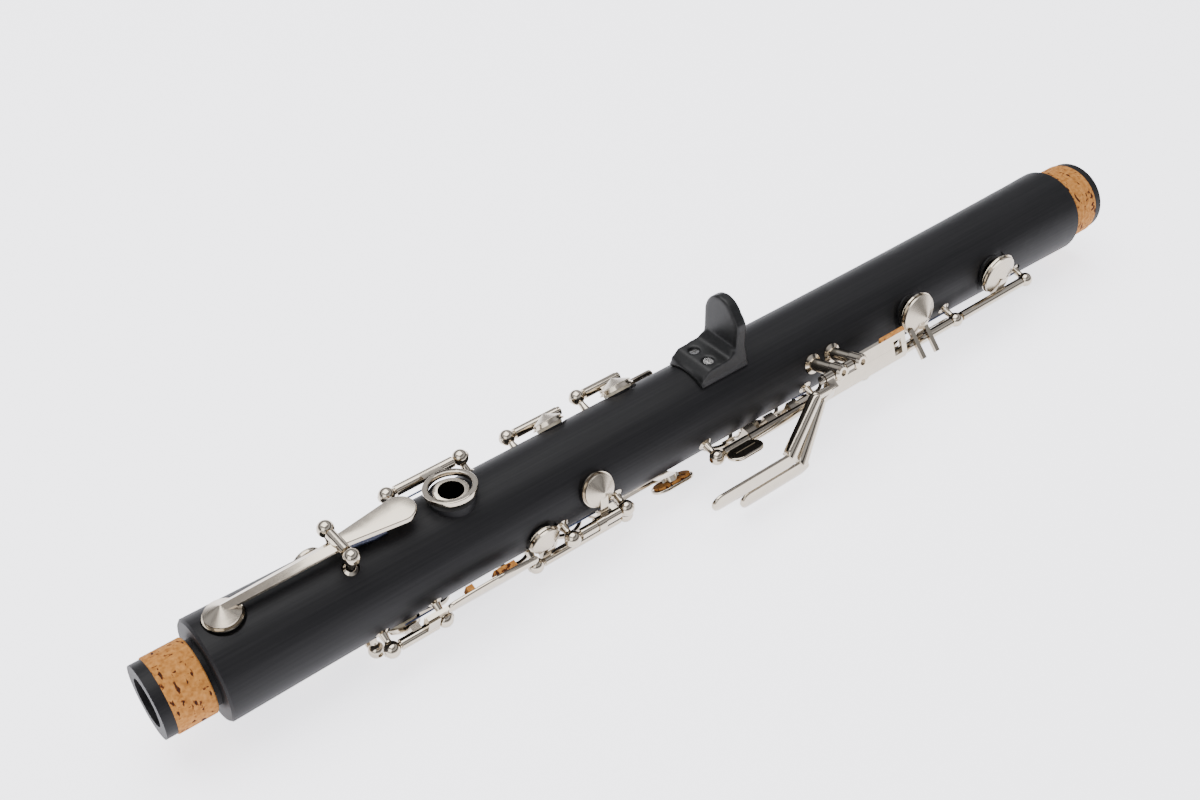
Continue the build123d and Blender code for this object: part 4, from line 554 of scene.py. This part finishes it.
# %% A UV map that runs round a tube
def wrap_uv(piece, rows, columns):
    """UV map of a closed tube: the first axis goes round it, the second along it, 0 to 1.

    A face that crosses the seam has corners in the last and the first quarter of the way round,
    and its first-quarter corners are moved on by 1. A pole takes the least of its face's others.
    """
    corners = np.empty(len(piece.data.loops), np.int32)
    piece.data.loops.foreach_get("vertex_index", corners)
    around = (corners % columns) / columns
    along = np.minimum(corners // columns, rows - 1) / (rows - 1)
    starts = np.empty(len(piece.data.polygons), np.int32)
    totals = np.empty(len(piece.data.polygons), np.int32)
    piece.data.polygons.foreach_get("loop_start", starts)
    piece.data.polygons.foreach_get("loop_total", totals)
    face = np.repeat(np.arange(len(starts)), totals)
    in_last = np.maximum.reduceat(around, starts)[face] > 0.75
    in_first = np.minimum.reduceat(around, starts)[face] < 0.25
    around = np.where(in_last & in_first & (around < 0.25), around + 1.0, around)
    pole = corners >= rows * columns
    least = np.minimum.reduceat(np.where(pole, 2.0, around), starts)[face]
    around = np.where(pole, least, around)
    layer = piece.data.uv_layers.new(name="around")
    layer.data.foreach_set("uv", np.stack([around, along], -1).ravel())


print("a ring of 8 columns steps by", 1 / 8, "round the map")

# %% A crown over every cup
USUAL_RISE = 2.2
CONE_RISE = {"register_key": 2.6, "fsharp_key": 3.2}
CUP_LIP = 0.45
CONE_START = 0.1
CROWN_RAISE = 0.03
CROWN_DEPTH = 0.3
EDGE_HEIGHT = 0.02
UNDER_EYE = 0.3
CROWN_COLUMNS = 72


def crown_profile(wide, rise):
    """Half outline of a crown in millimetres: a hidden flat underside, an edge and a cone.

    At the share s of the radius the cone stands CONE_START + rise * (1 - s) over the pad's back.
    It is CROWN_RAISE larger than the working cup on every side, so it hides it.
    """
    share = np.linspace(1.0, 0.02, 24)
    cone = np.stack([wide * share, CONE_START + rise * (1 - share) + CROWN_RAISE], -1)
    edge = wide + CROWN_RAISE
    under = [[UNDER_EYE, -CROWN_DEPTH], [wide * 0.8, -CROWN_DEPTH], [edge, -CROWN_DEPTH]]
    return np.vstack([under, [[edge, EDGE_HEIGHT]], cone])


for node in PADS:
    body = BODY_OF[node]
    centre, axis, radius, thick = disc_axis(node)
    profile = crown_profile(radius / MM + CUP_LIP, CONE_RISE.get(body, USUAL_RISE))
    grid = lathe(profile, centre + axis * thick / 2, axis, CROWN_COLUMNS)
    crown = closed_tube(body + "_crown", grid, 30)
    wrap_uv(crown, len(profile), CROWN_COLUMNS)
    settle(crown, body, "keywork", body, turned_nickel)
print("crowns", len(PADS))

# %% [markdown]
# ## Finger touches
#
# The long touches are forged and filed by hand: a little fuller along the middle than at the rim,
# and never quite straight. A bevelled plate would stay flat, so a blade is made by carrying a
# rounded section along a line. Its width follows the plan of the touch, its face is raised by a
# parabola across the width, and a slow sine moves it a little from side to side. Each blade lies
# over the flat plate of the working part. Two narrow, thick ones cover the bars of the levers.

# %% A crowned blade
SECTION_FULLNESS = 0.35
SMALLEST_END = 0.0004
THINNING, THINNEST = 2.5, 0.1
BLADE_ROWS, BLADE_COLUMNS = 60, 36


def blade(name, start, end, normal, widths, thick, crown, sway):
    """Rounded bar in millimetres from start to end, its broad face turned to normal.

    At the share t of the way along, the half width comes from widths and is brought to the tip by
    a quarter circle. Round the section at angle a, a point lies half width * cos(a) across and
    thick / 2 * sign(sin a) * |sin a| ** SECTION_FULLNESS up, plus crown * sin(a) ** 2 on the
    face. The section is shifted across by sway * sin(2 pi t), and it thins out at the tips.
    """
    length = np.linalg.norm(end - start)
    along = (end - start) / length
    up = normal - (normal @ along) * along
    up /= np.linalg.norm(up)
    across = np.cross(up, along)
    t = 0.5 - 0.5 * np.cos(np.linspace(0, np.pi, BLADE_ROWS))
    shares, halves = zip(*widths)
    half = np.interp(t, shares, halves)
    from_tip = np.clip(np.minimum(t, 1 - t) * length / half, 0, 1)
    half = half * np.sqrt(np.clip(1 - (1 - from_tip) ** 2, SMALLEST_END, 1))
    sine = np.sin(np.linspace(0, 2 * np.pi, BLADE_COLUMNS, endpoint=False))
    cosine = np.cos(np.linspace(0, 2 * np.pi, BLADE_COLUMNS, endpoint=False))
    section = thick / 2 * np.sign(sine) * np.abs(sine) ** SECTION_FULLNESS
    face = np.where(sine > 0, crown * sine ** 2, 0)
    rise = (section + face) * np.clip(half / half.max() * THINNING, THINNEST, 1)[:, None]
    shift = half[:, None] * cosine + sway * np.sin(2 * np.pi * t)[:, None]
    middle = start + t[:, None] * (end - start)
    grid = middle[:, None] + shift[..., None] * across + rise[..., None] * up
    return closed_tube(name, grid * MM, 50)


print("blade grid", BLADE_ROWS, "by", BLADE_COLUMNS)

# %% Where the blades lie
PLATE_LIFT = 0.55
THROAT_FACE = outward(-112.0)
THROAT_MIDDLE = place(72.0, -104.0, 17.4) + PLATE_LIFT * THROAT_FACE
SPATULA_TURN, SPATULA_PITCH = -96.0, 6.5
SPATULA_FACE = outward(SPATULA_TURN)
UPPER_SPATULA = np.array([0.0, -29.6, -7.4]) + PLATE_LIFT * SPATULA_FACE
LOWER_SPATULA = UPPER_SPATULA + SPATULA_PITCH * outward(SPATULA_TURN - 90.0)
UPPER_KNEE = np.array([181.0, -25.04, 5.39])
LOWER_KNEE = np.array([184.6, -23.4, 0.2])
KNEE_LIFT = np.array([0.3, 0.0, 0.8])
BAR_LIFT = np.array([0.0, 0.0, 1.2])
BAR_FACE = outward(-60.0)
SPATULA_WIDTHS = [(0, 2.9), (0.5, 2.95), (1, 2.9)]
THROAT_WIDTHS = [(0, 2.15), (0.45, 2.85), (0.62, 2.75), (0.95, 1.3), (1, 1.2)]
print("spatulas at", np.round(UPPER_SPATULA, 2), np.round(LOWER_SPATULA, 2), "mm")

# %% Five blades
BLADES = [
    ("throat_gsharp_key", THROAT_MIDDLE - X_WAY * 14.1, THROAT_MIDDLE + X_WAY * 14.8,
     THROAT_FACE, THROAT_WIDTHS, 1.3, 0.35, 0.25),
    ("left_e_lever", UPPER_SPATULA + X_WAY * 137.2, UPPER_SPATULA + X_WAY * 169.2,
     SPATULA_FACE, SPATULA_WIDTHS, 1.25, 0.4, 0.0),
    ("left_fsharp_lever", LOWER_SPATULA + X_WAY * 148.8, LOWER_SPATULA + X_WAY * 175.2,
     SPATULA_FACE, SPATULA_WIDTHS, 1.25, 0.4, 0.0),
    ("left_e_lever", UPPER_KNEE + KNEE_LIFT, UPPER_SPATULA + X_WAY * 166.2 + BAR_LIFT,
     BAR_FACE, [(0, 1.5), (0.5, 1.65), (1, 1.9)], 3.2, 0.25, 0.0),
    ("left_fsharp_lever", LOWER_KNEE + KNEE_LIFT, LOWER_SPATULA + X_WAY * 172.0 + BAR_LIFT,
     BAR_FACE, [(0, 1.6), (0.5, 1.7), (1, 2.0)], 3.2, 0.25, 0.0),
]
for body, *shape in BLADES:
    touch = settle(blade(body + "_touch", *shape), body, "keywork", body)
    print(touch.name, "faces", len(touch.data.polygons))

# %% [markdown]
# ## The floor
#
# The instrument lies on a plain pale sheet. A lit sheet alone would come out grey between the
# lamps, so it also glows a little, evenly, and it is large enough that its edge stays far off.

# %% Pale sheet
FLOOR_HALF = 15.0
SHEET_GLOW = 2.3
corners_of_floor = [(x * FLOOR_HALF, y * FLOOR_HALF, cad_low[2])
                    for x, y in ((-1, -1), (1, -1), (1, 1), (-1, 1))]
floor_mesh = bpy.data.meshes.new("floor")
floor_mesh.from_pydata(corners_of_floor, [], [(0, 1, 2, 3)])
floor = bpy.data.objects.new("floor", floor_mesh)
bpy.context.scene.collection.objects.link(floor)
sheet, _, _, sheet_shader = blank_material("pale_paper")
sheet_shader.inputs["Base Color"].default_value = (0.80, 0.80, 0.83, 1)
sheet_shader.inputs["Roughness"].default_value = 0.9
sheet_shader.inputs["Emission Color"].default_value = (0.93, 0.92, 0.97, 1)
sheet_shader.inputs["Emission Strength"].default_value = SHEET_GLOW
floor.data.materials.append(sheet)
print("floor", 2 * FLOOR_HALF, "m square at", round(cad_low[2], 4))

# %% [markdown]
# ## Light
#
# The light is a large soft source overhead with a weaker one from the left, so the black tube gets
# one long soft highlight. Polished metal shows only what it mirrors, so the room round it has a
# pale horizon, a dark band above it, a bright band higher up and a dimmer one near the top.

# %% Lamps
def soft_light(name, size, power, spot, target):
    """Square area light at spot, turned to face target."""
    lamp = bpy.data.lights.new(name, "AREA")
    lamp.shape = "SQUARE"
    lamp.size = size
    lamp.energy = power
    holder = bpy.data.objects.new(name, lamp)
    holder.location = spot
    holder.rotation_euler = (Vector(target) - Vector(spot)).to_track_quat("-Z", "Y").to_euler()
    bpy.context.scene.collection.objects.link(holder)
    return holder


MIDDLE_OF_BODY = (0.16, 0.0, 0.0)
overhead = soft_light("overhead", 1.2, 22.0, (0.10, 0.25, 1.1), MIDDLE_OF_BODY)
left_fill = soft_light("left_fill", 0.9, 7.0, (-0.9, -0.5, 0.7), MIDDLE_OF_BODY)
print("lamps", overhead.name, left_fill.name)

# %% Banded room
ROOM_BANDS = [
    (0.00, (0.95, 0.95, 1.00, 1)), (0.20, (0.85, 0.86, 0.92, 1)),
    (0.26, (0.06, 0.06, 0.07, 1)), (0.38, (0.07, 0.07, 0.08, 1)),
    (0.48, (0.80, 0.82, 0.88, 1)), (0.66, (0.90, 0.92, 1.00, 1)),
    (0.80, (0.25, 0.25, 0.28, 1)), (1.00, (0.95, 0.95, 1.00, 1))]
world = bpy.data.worlds.new("room")
world.use_nodes = True
sky, sky_links = world.node_tree.nodes, world.node_tree.links
sky_way = sky.new("ShaderNodeTexCoord")
height_of = sky.new("ShaderNodeSeparateXYZ")
sky_links.new(sky_way.outputs["Generated"], height_of.inputs["Vector"])
walls = ramp(sky, sky_links, height_of.outputs["Z"], ROOM_BANDS)
sky_links.new(walls, sky["Background"].inputs["Color"])
sky["Background"].inputs["Strength"].default_value = 1.0
bpy.context.scene.world = world
print("room bands", len(ROOM_BANDS))

# %% [markdown]
# ## Camera
#
# The camera looks down along the body from beyond the barrel end, a little to the left hand's
# side. Its turn is given by the two directions that its right and its back point in, and the
# third follows from them.

# %% Camera
camera_data = bpy.data.cameras.new("camera")
camera_data.lens = 42.53
camera_data.sensor_width = 36.0
camera_data.clip_start = 0.01
camera = bpy.data.objects.new("camera", camera_data)
right = Vector((0.78236, -0.62251, -0.01969)).normalized()
back = Vector((-0.46819, -0.60868, 0.64056)).normalized()
up = back.cross(right).normalized()
turn = Matrix((right, up, back)).transposed().to_4x4()
camera.matrix_world = Matrix.Translation((-0.05833, -0.23464, 0.26660)) @ turn
bpy.context.scene.collection.objects.link(camera)
bpy.context.scene.camera = camera
print("camera at", [round(v, 4) for v in camera.location])
